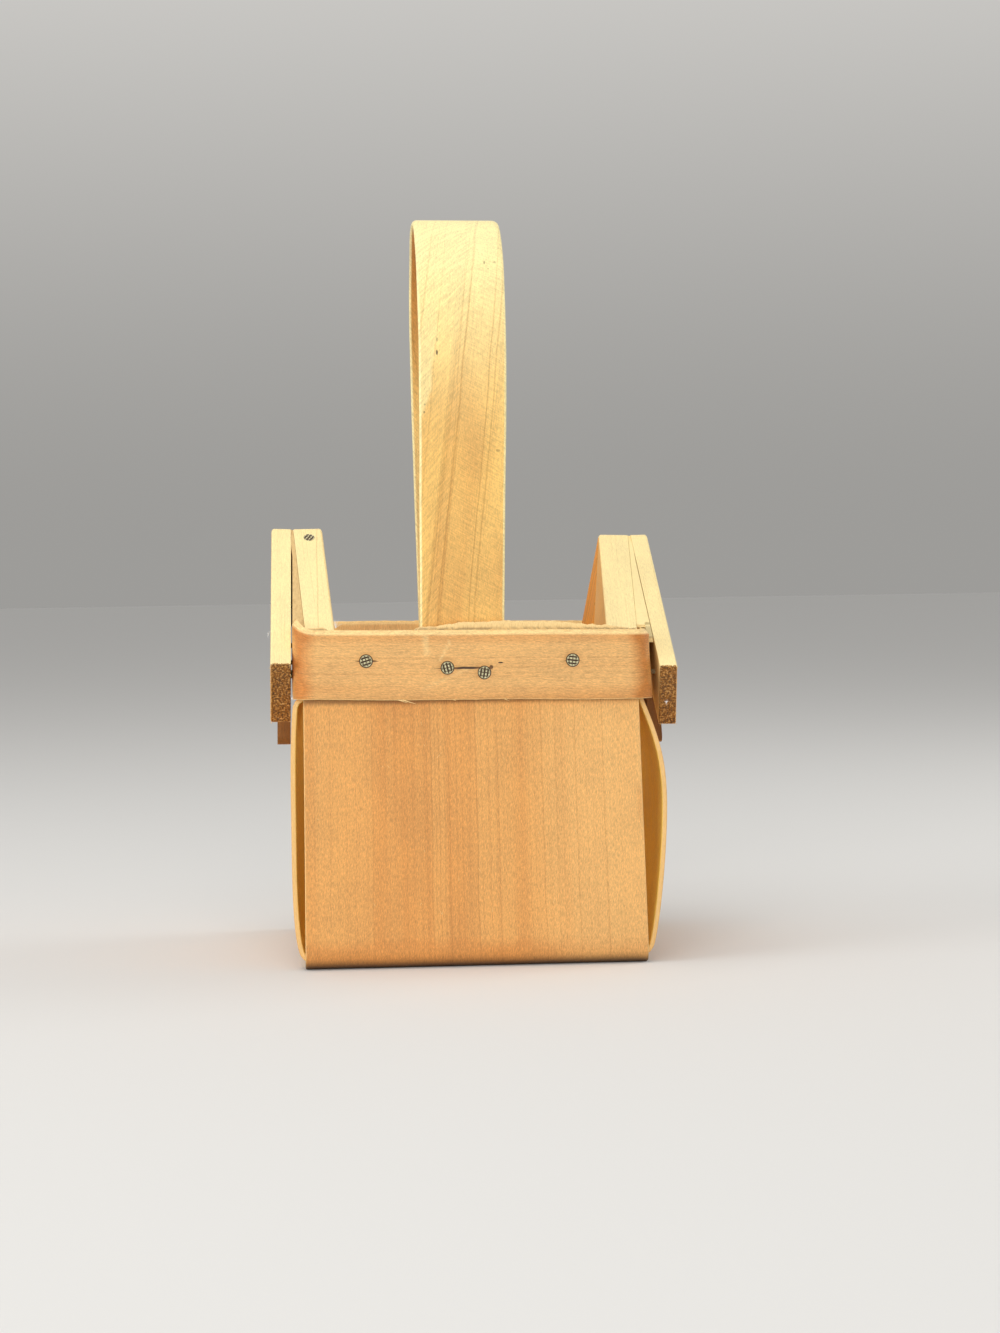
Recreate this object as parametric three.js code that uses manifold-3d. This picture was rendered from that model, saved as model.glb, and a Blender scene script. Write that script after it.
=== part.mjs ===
// A small square veneer basket with a bentwood handle and a gable, or low roof point, on each side.
// Millimetres, +X to the right, +Y from the front to the back, +Z up, origin under the middle of the bottom.

import * as THREE from "three";
import { mergeVertices } from "three/addons/utils/BufferGeometryUtils.js";
import Module from "manifold-3d";

// Clearances
const fit = 0.25; // between pieces that lie against each other
const nailFit = 0.3; // round a nail in its hole
const overrun = 6; // how far a cut runs past the wood

// The hoop round the rim
const bandWidth = 117.4;
const bandDepth = 116.6;
const bandHeight = 22.8;
const bandThickness = 2;
const bandCornerRadius = 6;
const lapLength = 30;
const lapCentre = 1;
const lapClimb = 8; // the run in which the outer end climbs over the inner one

// The rim as a whole: it was nailed on by hand, so it sits and leans a little to the right
const rimHeight = 111.15;
const rimShift = 0.7;
const rimTilt = THREE.MathUtils.degToRad(0.7);

// The strip that makes the front wall, the bottom and the back wall
const frontThickness = 1.7;
const frontWidthAtRim = 109.2;
const frontWidthAtBottom = 113.2;
const frontBottomX = 1.1; // the middle of the strip at the bottom, where it has shifted to the right
const frontFoldRadius = 6;
const tornRise = 2.8; // the most that the torn top of the front wall stands over the hoop
const backDrop = 0.5; // the top of the back wall lies this far under the hoop's

// The strip that makes the side walls, and lies on the other one at the bottom
const sideThickness = 1.6;
const sideFoldOutset = 0.4; // from the edge of the other strip to where a side wall meets the bottom
const sideFoldRise = 4;
const sideFoldRun = 4.5;
const sideFoldLean = THREE.MathUtils.degToRad(14);
const gableRecess = 0.5; // the veneer's sloping edge lies this far under the rafters' edges

// The slats along the gables, and the posts under their peaks
const rafterWidth = 25.4;
const innerRafterThickness = 8.9;
const rafterEndDrop = 10.8; // from the hoop's top down to the top corner of a rafter's end
const rafterEase = 0.6; // the eased edges of the slats
const postWidth = 25.4;
const postThickness = 4.5;
const postDrop = 40.3; // from the hoop's top down to the post's end
const postCornerRadius = 3;

// The handle, a strip that widens a little from the hoop to the top of its arch
const handleWidthAtRim = 27.7;
const handleWidthAtTop = 29.3;
const handleThickness = 2.2;
const handleLegDrop = 30; // from the hoop's top down to the end of a leg
const handleSpring = 70.6; // from the hoop's top up to where the legs start to bend
const handleRise = 138.9; // from the hoop's top up to the top of the arch
const handleFrontX = -3;
const handleTopX = -2.4;
const handleBackX = 1.2;

// Nails
const headRadius = 2.05;
const headThickness = 0.8;
const headSink = 0.2;
const shankRadius = 0.8;
const nailPoint = 1.8;
const clinchRadius = 1.2; // of the bend where a nail's tip is turned over
const clinchTail = 3.4;
const rafterNailBite = 6; // how deep a rafter nail goes into the inner rafter
const peakNailLength = 25;
const peakNailInset = 5.6; // from the peak down the slope to the nail

// Places of the nails, as shares of the piece that they hold
const bandNailXShares = { front: [-0.296, 0.28], back: [-0.285, 0.29] };
const bandNailDropShare = 0.443;
const handleNailXShares = { front: [-0.186, 0.253], back: [-0.22, 0.24] };
const handleNailDropShares = { front: [0.544, 0.614], back: [0.58, 0.53] };
const rafterNailRunShares = [0.24, 0.72];
const postNailDropShares = [0.3, 0.76];

// How far a side wall keeps its direction as it leaves the hoop, its fullest point and the fold, as shares of
// the height over or under its fullest point
const bulgeHandleShares = { rim: 0.4, above: 0.4, below: 0.3, fold: 0.2 };

// The torn top of the front wall: across from left to right, and up, as shares of the width and of tornRise
const tornShares = [
  [0, -0.35],
  [0.32, -0.3],
  [0.36, 0.35],
  [0.5, 0.85],
  [0.62, 1],
  [0.75, 0.9],
  [0.88, 0.5],
  [1, 0.1],
];

// The two sides differ a little, as the real ones do
const sides = {
  left: {
    sign: -1,
    peakRise: 33.7,
    peakNailEnd: "front",
    outerThickness: 6.4, // of the outer rafters
    outerLean: THREE.MathUtils.degToRad(-0.15), // of the outer rafters, inwards at the top
    standoff: 0.4, // between the hoop and the outer rafters, at the hoop's top
    rimLean: THREE.MathUtils.degToRad(10), // of the wall, outwards as it leaves the hoop
    bulge: 2.95,
    bulgeHeightShare: 0.734, // of the height under the post
  },
  right: {
    sign: 1,
    peakRise: 31.4,
    peakNailEnd: "back",
    outerThickness: 5.8,
    outerLean: THREE.MathUtils.degToRad(4.2),
    standoff: 2.05,
    rimLean: THREE.MathUtils.degToRad(22),
    bulge: 8.05,
    bulgeHeightShare: 0.748,
  },
};
const ends = { front: -1, back: 1 };

// Where the pieces lie, worked out from the sizes above
const bandHalf = bandWidth / 2;
const bandHalfDepth = bandDepth / 2;
const frontOuterY = bandHalfDepth - bandThickness - fit;
const frontInnerY = frontOuterY - frontThickness;
const handleOuterY = frontInnerY - fit;
const sideOuterX = bandHalf - bandThickness - fit;
const sideInnerX = sideOuterX - sideThickness;
const sideHalfDepth = frontInnerY - fit;
const bottomTop = frontThickness + fit;
const reach = bandWidth + overrun; // longer than any piece, for cuts

// Smoothness
const arcSteps = 5;
const handleSteps = 14;
const nailSides = 12;
const clinchSteps = 9;
const sameMillimetres = 1e-4;

const wasm = await Module();
wasm.setup();

function toSolid(geometry) {
  const bare = geometry.clone();
  bare.deleteAttribute("normal");
  bare.deleteAttribute("uv");
  const merged = mergeVertices(bare, sameMillimetres);
  return new wasm.Manifold(
    new wasm.Mesh({
      numProp: 3,
      vertProperties: new Float32Array(merged.attributes.position.array),
      triVerts: new Uint32Array(merged.index.array),
    }),
  );
}

function toGeometry(solid) {
  const { vertProperties, triVerts } = solid.getMesh();
  const geometry = new THREE.BufferGeometry();
  geometry.setAttribute("position", new THREE.BufferAttribute(vertProperties, 3));
  geometry.setIndex(new THREE.BufferAttribute(triVerts, 1));
  geometry.computeVertexNormals();
  return geometry;
}

function cut(geometry, ...tools) {
  const left = tools.reduce((solid, tool) => solid.subtract(toSolid(tool)), toSolid(geometry));
  return toGeometry(left);
}

function common(geometry, tool) {
  return toGeometry(toSolid(geometry).intersect(toSolid(tool)));
}

function joined(...geometries) {
  const [first, ...rest] = geometries.map(toSolid);
  return toGeometry(rest.reduce((solid, next) => solid.add(next), first));
}

// The outline of a strip of even thickness whose middle follows a line.
function ribbon(line, steps, thickness) {
  const points = line
    .getPoints(steps)
    .filter((p, i, all) => i === 0 || p.distanceTo(all[i - 1]) > sameMillimetres);
  const directions = points.slice(1).map((p, i) => p.clone().sub(points[i]).normalize());
  const outer = [];
  const inner = [];
  points.forEach((p, i) => {
    const before = directions[Math.max(i - 1, 0)];
    const after = directions[Math.min(i, directions.length - 1)];
    const along = before.clone().add(after).normalize();
    const across = new THREE.Vector2(-along.y, along.x);
    const half = thickness / 2 / along.dot(before);
    outer.push(p.clone().addScaledVector(across, half));
    inner.push(p.clone().addScaledVector(across, -half));
  });
  return new THREE.Shape([...outer, ...inner.reverse()]);
}

// An outline given thickness, centred on its own plane, with its edges eased by the amount given.
function slab(shape, thickness, ease = 0) {
  const geometry = new THREE.ExtrudeGeometry(shape, {
    depth: thickness - 2 * ease,
    curveSegments: arcSteps,
    bevelEnabled: ease > 0,
    bevelThickness: ease,
    bevelSize: ease,
    bevelOffset: -ease,
    bevelSegments: 2,
  });
  return geometry.translate(0, 0, ease - thickness / 2);
}

// An outline drawn in Y and Z, given its thickness along X.
function slabAlongX(shape, thickness, ease) {
  const turn = new THREE.Matrix4().makeBasis(
    new THREE.Vector3(0, 1, 0),
    new THREE.Vector3(0, 0, 1),
    new THREE.Vector3(1, 0, 0),
  );
  return slab(shape, thickness, ease).applyMatrix4(turn);
}

// An outline drawn in X and Z, given its thickness along Y.
function slabAlongY(shape, thickness, ease) {
  return slab(shape, thickness, ease).rotateX(Math.PI / 2);
}

function polygon(...points) {
  return new THREE.Shape(points.map(([x, y]) => new THREE.Vector2(x, y)));
}

// From the tilted frame of the rim, whose zero is the hoop's top, to the frame of the body.
function rimToBody(x, z) {
  return [
    rimShift + x * Math.cos(rimTilt) + z * Math.sin(rimTilt),
    rimHeight - x * Math.sin(rimTilt) + z * Math.cos(rimTilt),
  ];
}

function moveToBody(geometry) {
  return geometry.rotateY(rimTilt).translate(rimShift, 0, rimHeight);
}

// Inner face of a side's outer rafters, at a height over the hoop's top.
function outerRafterX(side, z) {
  return bandHalf + side.standoff - z * Math.tan(side.outerLean);
}

// The outward lean of a gable, which brings its veneer against the outer rafters at the peak.
function gableLean(side) {
  const shift = outerRafterX(side, side.peakRise) - fit - sideOuterX;
  return Math.atan2(shift, side.peakRise);
}

// Outer face of a side's inner rafters, at a height over the hoop's top.
function innerRafterX(side, z) {
  return sideInnerX - fit + z * Math.tan(gableLean(side));
}

function rafterSlope(side, endY) {
  const outerSlope = Math.atan2(side.peakRise + rafterEndDrop, bandHalfDepth);
  return { angle: outerSlope, endDrop: endY * Math.tan(outerSlope) - side.peakRise };
}

// A line through the veneer of one wall, from the middle of the bottom to above the peak.
function sideWallPoints(side) {
  const middle = sideOuterX - sideThickness / 2;
  const tall = side.peakRise + overrun;
  const bottomZ = bottomTop + sideThickness / 2;
  const bulgeX = side.sign * (sideOuterX + side.bulge - sideThickness / 2);
  const bulgeZ = (rimHeight - postDrop) * side.bulgeHeightShare;
  const foldX = frontWidthAtBottom / 2 + sideFoldOutset + side.sign * frontBottomX;
  const foldTopX = foldX + sideFoldRise * Math.tan(sideFoldLean);
  const foldTopZ = bottomZ + sideFoldRise;
  const bandBottom = rimToBody(side.sign * middle, -bandHeight);
  const above = bandBottom[1] - bulgeZ;
  const below = bulgeZ - foldTopZ;
  const rimHandle = above * bulgeHandleShares.rim;
  const foldHandle = below * bulgeHandleShares.fold;
  return {
    peak: rimToBody(side.sign * (middle + tall * Math.tan(gableLean(side))), tall),
    rim: rimToBody(side.sign * middle, 0),
    bandBottom,
    underBand: [bandBottom[0] + side.sign * rimHandle * Math.tan(side.rimLean), bandBottom[1] - rimHandle],
    overBulge: [bulgeX, bulgeZ + above * bulgeHandleShares.above],
    bulge: [bulgeX, bulgeZ],
    underBulge: [bulgeX, bulgeZ - below * bulgeHandleShares.below],
    overFold: [side.sign * (foldTopX + foldHandle * Math.tan(sideFoldLean)), foldTopZ + foldHandle],
    foldTop: [side.sign * foldTopX, foldTopZ],
    corner: [side.sign * foldX, bottomZ],
    bottom: [side.sign * (foldX - sideFoldRun), bottomZ],
  };
}

function sideStripShape() {
  const left = sideWallPoints(sides.left);
  const right = sideWallPoints(sides.right);
  const line = new THREE.Path();
  line.moveTo(...left.peak);
  line.lineTo(...left.rim);
  line.lineTo(...left.bandBottom);
  line.bezierCurveTo(...left.underBand, ...left.overBulge, ...left.bulge);
  line.bezierCurveTo(...left.underBulge, ...left.overFold, ...left.foldTop);
  line.quadraticCurveTo(...left.corner, ...left.bottom);
  line.lineTo(...right.bottom);
  line.quadraticCurveTo(...right.corner, ...right.foldTop);
  line.bezierCurveTo(...right.overFold, ...right.underBulge, ...right.bulge);
  line.bezierCurveTo(...right.overBulge, ...right.underBand, ...right.bandBottom);
  line.lineTo(...right.rim);
  line.lineTo(...right.peak);
  return ribbon(line, arcSteps * 2, sideThickness);
}

// Everything above the two slopes of one gable, on that side of the basket.
function aboveGable(side) {
  const { angle } = rafterSlope(side, bandHalfDepth);
  const top = side.peakRise - gableRecess / Math.cos(angle);
  const low = top - bandDepth * Math.tan(angle);
  const high = side.peakRise + 2 * overrun;
  const shape = polygon([-bandDepth, low], [0, top], [bandDepth, low], [bandDepth, high], [-bandDepth, high]);
  return moveToBody(slabAlongX(shape, bandWidth).translate((side.sign * bandWidth) / 2, 0, 0));
}

// The ring of space that the hoop takes up, from its inner face outwards, which both strips have to clear.
function hoopSpace() {
  const halfX = bandHalf - bandThickness - fit;
  const halfY = bandHalfDepth - bandThickness - fit;
  const radius = bandCornerRadius - bandThickness - fit;
  const room = new THREE.Path();
  room.absarc(radius - halfX, halfY - radius, radius, Math.PI / 2, Math.PI, false);
  room.absarc(radius - halfX, radius - halfY, radius, Math.PI, 1.5 * Math.PI, false);
  room.absarc(halfX - radius, radius - halfY, radius, 1.5 * Math.PI, 2 * Math.PI, false);
  room.absarc(halfX - radius, halfY - radius, radius, 0, Math.PI / 2, false);
  const shape = polygon([-reach, -reach], [reach, -reach], [reach, reach], [-reach, reach]);
  shape.holes.push(room);
  return moveToBody(slab(shape, bandHeight + 2 * fit).translate(0, 0, -bandHeight / 2));
}

// The space inside the front and back walls, which the other strip has to clear.
function insideFrontStrip() {
  const radius = frontFoldRadius - frontThickness - fit;
  const shape = new THREE.Shape();
  shape.moveTo(-sideHalfDepth, 2 * rimHeight);
  shape.lineTo(-sideHalfDepth, bottomTop + radius);
  shape.absarc(radius - sideHalfDepth, bottomTop + radius, radius, Math.PI, 1.5 * Math.PI, false);
  shape.absarc(sideHalfDepth - radius, bottomTop + radius, radius, 1.5 * Math.PI, 2 * Math.PI, false);
  shape.lineTo(sideHalfDepth, 2 * rimHeight);
  return slabAlongX(shape, 2 * reach);
}

function sideStrip() {
  const strip = slabAlongY(sideStripShape(), 2 * sideHalfDepth);
  const fitted = common(strip, insideFrontStrip());
  return cut(fitted, hoopSpace(), aboveGable(sides.left), aboveGable(sides.right));
}

function frontStripShape() {
  const middleY = frontOuterY - frontThickness / 2;
  const radius = frontFoldRadius - frontThickness / 2;
  const middleZ = frontThickness / 2;
  const top = rimHeight + tornRise + overrun;
  const line = new THREE.Path();
  line.moveTo(-middleY, top);
  line.lineTo(-middleY, middleZ + radius);
  line.absarc(radius - middleY, middleZ + radius, radius, Math.PI, 1.5 * Math.PI, false);
  line.absarc(middleY - radius, middleZ + radius, radius, 1.5 * Math.PI, 2 * Math.PI, false);
  line.lineTo(middleY, top);
  return ribbon(line, arcSteps, frontThickness);
}

// The outline of the front or back wall, wider towards the bottom, with the given points along its top.
function wallOutline(top) {
  const flare = (frontWidthAtBottom - frontWidthAtRim) / 2 / rimHeight;
  const half = frontWidthAtBottom / 2 + overrun * flare;
  const middle = frontBottomX + (overrun * frontBottomX) / rimHeight;
  const tops = top.map(([share, rise]) => rimToBody((share - 1 / 2) * frontWidthAtRim - rimShift, rise));
  return polygon([middle - half, -overrun], ...tops, [middle + half, -overrun]);
}

function frontStrip() {
  const strip = slabAlongX(frontStripShape(), 2 * reach);
  const torn = tornShares.map(([across, up]) => [across, up * tornRise]);
  const level = [
    [0, -backDrop],
    [1, -backDrop],
  ];
  // The two outlines overlap in the middle of the bottom, where they are alike.
  const shift = bandHalfDepth - overrun;
  const front = slabAlongY(wallOutline(torn), bandDepth).translate(0, -shift, 0);
  const back = slabAlongY(wallOutline(level), bandDepth).translate(0, shift, 0);
  return cut(common(strip, joined(front, back)), hoopSpace());
}

function bandShape() {
  const halfX = (bandWidth - bandThickness) / 2;
  const halfY = (bandDepth - bandThickness) / 2;
  const radius = bandCornerRadius - bandThickness / 2;
  const lapY = halfY + bandThickness + fit;
  const lapStart = lapCentre + lapLength / 2;
  const lapEnd = lapCentre - lapLength / 2;
  const climbEnd = lapStart + fit;
  const climbMiddle = climbEnd + lapClimb / 2;
  const line = new THREE.Path();
  line.moveTo(lapStart, halfY);
  line.lineTo(radius - halfX, halfY);
  line.absarc(radius - halfX, halfY - radius, radius, Math.PI / 2, Math.PI, false);
  line.absarc(radius - halfX, radius - halfY, radius, Math.PI, 1.5 * Math.PI, false);
  line.absarc(halfX - radius, radius - halfY, radius, 1.5 * Math.PI, 2 * Math.PI, false);
  line.absarc(halfX - radius, halfY - radius, radius, 0, Math.PI / 2, false);
  line.lineTo(climbEnd + lapClimb, halfY);
  line.bezierCurveTo(climbMiddle, halfY, climbMiddle, lapY, climbEnd, lapY);
  line.lineTo(lapEnd, lapY);
  return ribbon(line, arcSteps, bandThickness);
}

function rimBand() {
  return slab(bandShape(), bandHeight).translate(0, 0, -bandHeight / 2);
}

// The middle of the handle at an end of the basket, which leans from the top of the arch to its place at the hoop.
function handleX(end, z) {
  const rimX = end === ends.back ? handleBackX : handleFrontX;
  return handleTopX + ((rimX - handleTopX) * (handleRise - z)) / handleRise;
}

function handleWidth(z) {
  return handleWidthAtRim + ((handleWidthAtTop - handleWidthAtRim) * z) / handleRise;
}

// An arch over straight legs, drawn in Y and Z, then given its width and lean at each height.
function handleArch() {
  const middleY = handleOuterY - handleThickness / 2;
  const bend = handleRise - handleThickness / 2 - handleSpring;
  const line = new THREE.Path();
  line.moveTo(middleY, -handleLegDrop);
  line.lineTo(middleY, handleSpring);
  line.absellipse(0, handleSpring, middleY, bend, 0, Math.PI, false, 0);
  line.lineTo(-middleY, -handleLegDrop);
  const arch = slabAlongX(ribbon(line, handleSteps, handleThickness), handleWidthAtTop);
  const { position } = arch.attributes;
  for (let i = 0; i < position.count; i += 1) {
    const z = position.getZ(i);
    const end = position.getY(i) > 0 ? ends.back : ends.front;
    const edge = Math.sign(position.getX(i)) / 2;
    position.setX(i, handleX(end, z) + edge * handleWidth(z));
  }
  return arch;
}

// One slat of a gable: its end is cut square, and it is mitred upright at the peak.
function rafterShape(side, end, endY) {
  const { angle, endDrop } = rafterSlope(side, endY);
  const mitre = fit / 2;
  const topAt = (y) => side.peakRise - y * Math.tan(angle);
  const plumbWidth = rafterWidth / Math.cos(angle);
  return polygon(
    [end * endY, -endDrop],
    [end * mitre, topAt(mitre)],
    [end * mitre, topAt(mitre) - plumbWidth],
    [end * (endY - rafterWidth * Math.sin(angle)), -endDrop - rafterWidth * Math.cos(angle)],
  );
}

function postShape(side) {
  const { angle } = rafterSlope(side, bandHalfDepth);
  const peak = side.peakRise - (rafterWidth + fit) / Math.cos(angle);
  const half = postWidth / 2;
  const shoulder = peak - half * Math.tan(angle);
  const r = postCornerRadius;
  const shape = new THREE.Shape();
  shape.moveTo(0, peak);
  shape.lineTo(-half, shoulder);
  shape.absarc(r - half, r - postDrop, r, Math.PI, 1.5 * Math.PI, false);
  shape.absarc(half - r, r - postDrop, r, 1.5 * Math.PI, 2 * Math.PI, false);
  shape.lineTo(half, shoulder);
  return shape;
}

// A round profile along Z, from its lower end up.
function turned(profile) {
  const points = profile.map(([radius, z]) => new THREE.Vector2(radius, z));
  return new THREE.LatheGeometry(points, nailSides).rotateX(Math.PI / 2);
}

// The room for a nail: a round hole with a wider one for the head, open at the surface.
function nailHole(length) {
  const headFloor = -headSink - headThickness - nailFit;
  return turned([
    [0, -length - nailFit],
    [shankRadius + nailFit, -length - nailFit],
    [shankRadius + nailFit, headFloor],
    [headRadius + nailFit, headFloor],
    [headRadius + nailFit, overrun],
    [0, overrun],
  ]);
}

// A nail driven along -Z from a surface at zero.
function straightNail(length) {
  return turned([
    [0, -length],
    [shankRadius, nailPoint - length],
    [shankRadius, -headSink - headThickness],
    [headRadius, -headSink - headThickness],
    [headRadius, -headSink],
    [0, -headSink],
  ]);
}

// A nail through a stack of wood, with its tip turned over on the far side.
function clinchedNail(stack) {
  const depth = stack + fit + shankRadius;
  const bend = depth - clinchRadius;
  const path = new THREE.CurvePath();
  const start = new THREE.Vector3(0, 0, -headSink - headThickness / 2);
  const bendStart = new THREE.Vector3(0, 0, -bend);
  const corner = new THREE.Vector3(0, 0, -depth);
  const bendEnd = new THREE.Vector3(0, -clinchRadius, -depth);
  const tip = new THREE.Vector3(0, -clinchRadius - clinchTail, -depth);
  path.add(new THREE.LineCurve3(start, bendStart));
  path.add(new THREE.QuadraticBezierCurve3(bendStart, corner, bendEnd));
  path.add(new THREE.LineCurve3(bendEnd, tip));
  const section = new THREE.Shape().absarc(0, 0, shankRadius, 0, 2 * Math.PI, false);
  const shank = new THREE.ExtrudeGeometry(section, {
    steps: clinchSteps,
    curveSegments: nailSides / 2,
    extrudePath: path,
  });
  const head = turned([
    [0, -headSink - headThickness],
    [headRadius, -headSink - headThickness],
    [headRadius, -headSink],
    [0, -headSink],
  ]);
  return joined(head, shank);
}

const woodRoughness = 0.7;
const steelRoughness = 0.5;
const colours = {
  frontVeneer: 0xd9a263,
  sideVeneer: 0xd39850,
  hoop: 0xcd9a66,
  bentwood: 0xe6b569,
  slat: 0xe8c078,
  steel: 0x6d6a62,
};

function piece(parent, name, geometry, colour) {
  const metal = colour === colours.steel;
  const material = new THREE.MeshStandardMaterial({
    color: colour,
    roughness: metal ? steelRoughness : woodRoughness,
    metalness: metal ? 1 : 0,
  });
  const mesh = new THREE.Mesh(geometry, material);
  mesh.name = name;
  parent.add(mesh);
  return mesh;
}
function frame(parent, x, turn) {
  const group = new THREE.Group();
  group.position.x = x;
  group.rotation.y = turn;
  parent.add(group);
  return group;
}

const basket = new THREE.Group();
const rim = frame(basket, rimShift, rimTilt);
rim.position.z = rimHeight;

const boards = [
  piece(basket, "front_back_strip", frontStrip(), colours.frontVeneer),
  piece(basket, "side_strip", sideStrip(), colours.sideVeneer),
  piece(rim, "rim_band", rimBand(), colours.hoop),
  piece(rim, "handle", handleArch(), colours.bentwood),
];

for (const [sideName, side] of Object.entries(sides)) {
  const outer = frame(rim, side.sign * outerRafterX(side, 0), -side.sign * side.outerLean);
  const inner = frame(rim, side.sign * innerRafterX(side, 0), side.sign * gableLean(side));
  for (const [endName, end] of Object.entries(ends)) {
    const outerShape = rafterShape(side, end, bandHalfDepth);
    const innerShape = rafterShape(side, end, handleOuterY);
    const outerSlat = slabAlongX(outerShape, side.outerThickness, rafterEase);
    const innerSlat = slabAlongX(innerShape, innerRafterThickness, rafterEase);
    outerSlat.translate((side.sign * side.outerThickness) / 2, 0, 0);
    innerSlat.translate((-side.sign * innerRafterThickness) / 2, 0, 0);
    boards.push(piece(outer, `outer_rafter_${sideName}_${endName}`, outerSlat, colours.slat));
    boards.push(piece(inner, `inner_rafter_${sideName}_${endName}`, innerSlat, colours.slat));
  }
  const post = slabAlongX(postShape(side), postThickness, rafterEase);
  post.translate((side.sign * postThickness) / 2, 0, 0);
  boards.push(piece(outer, `centre_post_${sideName}`, post, colours.slat));
}

// Drives a nail into the rim's pieces at a point, along a direction, and keeps the shape of its hole.
const nails = [];
function drive(name, geometry, length, point, direction) {
  const nail = piece(rim, name, geometry, colours.steel);
  const inwards = new THREE.Vector3(...direction).normalize();
  const across = new THREE.Vector3(inwards.y, -inwards.x, 0);
  if (across.length() < sameMillimetres) across.set(1, 0, 0);
  across.normalize();
  const up = inwards.clone().cross(across).negate();
  nail.applyMatrix4(new THREE.Matrix4().makeBasis(across, up, inwards.clone().negate()));
  nail.position.set(...point);
  nail.userData.hole = nailHole(length);
  nails.push(nail);
}

for (const [endName, end] of Object.entries(ends)) {
  const lapped = end === ends.back ? bandThickness + fit : 0;
  bandNailXShares[endName].forEach((share, i) => {
    const stack = bandHalfDepth - frontInnerY;
    const point = [share * bandWidth, end * bandHalfDepth, -bandNailDropShare * bandHeight];
    drive(`band_nail_${endName}_${i + 1}`, clinchedNail(stack), stack + fit, point, [0, -end, 0]);
  });
  handleNailXShares[endName].forEach((share, i) => {
    const stack = bandHalfDepth + lapped - handleOuterY + handleThickness;
    const z = -handleNailDropShares[endName][i] * bandHeight;
    const point = [handleX(end, z) + share * handleWidth(z), end * (bandHalfDepth + lapped), z];
    drive(`handle_nail_${endName}_${i + 1}`, clinchedNail(stack), stack + fit, point, [0, -end, 0]);
  });
}

for (const [sideName, side] of Object.entries(sides)) {
  const { angle } = rafterSlope(side, bandHalfDepth);
  const middleDrop = rafterWidth / 2 / Math.cos(angle);
  for (const [endName, end] of Object.entries(ends)) {
    rafterNailRunShares.forEach((share, i) => {
      const y = share * bandHalfDepth;
      const z = side.peakRise - y * Math.tan(angle) - middleDrop;
      const surface = outerRafterX(side, z) + side.outerThickness;
      const length = surface - innerRafterX(side, z) + rafterNailBite;
      const point = [side.sign * surface, end * y, z];
      drive(`rafter_nail_${sideName}_${endName}_${i + 1}`, straightNail(length), length, point, [-side.sign, 0, 0]);
    });
  }
  const peakY = peakNailInset * Math.cos(angle);
  const peakZ = side.peakRise - peakNailInset * Math.sin(angle);
  const peakX = innerRafterX(side, peakZ) - innerRafterThickness / 2;
  const peakEnd = ends[side.peakNailEnd];
  const down = [0, -peakEnd * Math.sin(angle), -Math.cos(angle)];
  const peakPoint = [side.sign * peakX, peakEnd * peakY, peakZ];
  drive(`peak_nail_${sideName}`, straightNail(peakNailLength), peakNailLength, peakPoint, down);
  postNailDropShares.forEach((share, i) => {
    const z = -share * bandHeight;
    const surface = outerRafterX(side, z) + postThickness;
    const stack = surface - sideInnerX;
    const point = [side.sign * surface, 0, z];
    drive(`post_nail_${sideName}_${i + 1}`, clinchedNail(stack), stack + fit, point, [-side.sign, 0, 0]);
  });
}

// Drill every board where a nail passes through it.
basket.updateMatrixWorld(true);
for (const board of boards) {
  const toBoard = board.matrixWorld.clone().invert();
  const holes = nails.map((nail) => {
    const place = toBoard.clone().multiply(nail.matrixWorld);
    return nail.userData.hole.clone().applyMatrix4(place);
  });
  board.geometry = cut(board.geometry, ...holes);
}

// Set the origin under the middle of the basket, on the surface it stands on.
const box = new THREE.Box3().setFromObject(basket, true);
const middle = box.getCenter(new THREE.Vector3());
basket.position.set(-middle.x, -middle.y, -box.min.z);

export default basket;
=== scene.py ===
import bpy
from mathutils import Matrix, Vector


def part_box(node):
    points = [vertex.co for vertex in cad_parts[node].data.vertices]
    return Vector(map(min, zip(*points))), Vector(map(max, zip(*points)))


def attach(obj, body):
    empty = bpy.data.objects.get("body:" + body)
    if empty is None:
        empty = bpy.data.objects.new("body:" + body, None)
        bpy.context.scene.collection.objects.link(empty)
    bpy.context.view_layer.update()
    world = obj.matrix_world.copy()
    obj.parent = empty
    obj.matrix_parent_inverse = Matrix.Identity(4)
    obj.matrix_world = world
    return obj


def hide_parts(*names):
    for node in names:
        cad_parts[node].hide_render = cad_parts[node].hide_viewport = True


bl_info = {
    "name": "Wooden basket",
    "version": (1, 0, 0),
    "blender": (4, 5, 0),
    "location": "3D View > Sidebar > Basket",
    "description": "Makes a small square veneer basket with a bentwood handle",
    "category": "Add Mesh",
}

import math
import random
from bisect import bisect_right
from itertools import product

import bmesh
import bpy
from bpy.props import FloatProperty, FloatVectorProperty, PointerProperty
from mathutils import Matrix, Vector, noise
from mathutils.geometry import interpolate_bezier

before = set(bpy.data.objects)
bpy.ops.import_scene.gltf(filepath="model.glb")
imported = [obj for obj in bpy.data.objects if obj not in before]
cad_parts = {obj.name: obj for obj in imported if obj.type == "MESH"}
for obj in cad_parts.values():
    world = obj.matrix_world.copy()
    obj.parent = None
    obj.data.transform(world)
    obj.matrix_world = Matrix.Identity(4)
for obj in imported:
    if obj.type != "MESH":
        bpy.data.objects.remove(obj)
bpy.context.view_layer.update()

MM = 0.001
SIDES = {"left": -1, "right": 1}
ENDS = {"front": -1, "back": 1}
# Edges sharper than this stay crisp under smooth shading
SHARP = math.radians(35)


# Sizes, colours and settings that a user may change

def number(name, description, value, **kind):
    """A number, with its unit or subtype where one fits."""
    return FloatProperty(name=name, description=description, default=value, **kind)


def length(name, description, millimetres):
    return number(name, description, millimetres * MM, unit="LENGTH", precision=5)


def angle(name, description, degrees):
    return number(name, description, math.radians(degrees), subtype="ANGLE")


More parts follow.
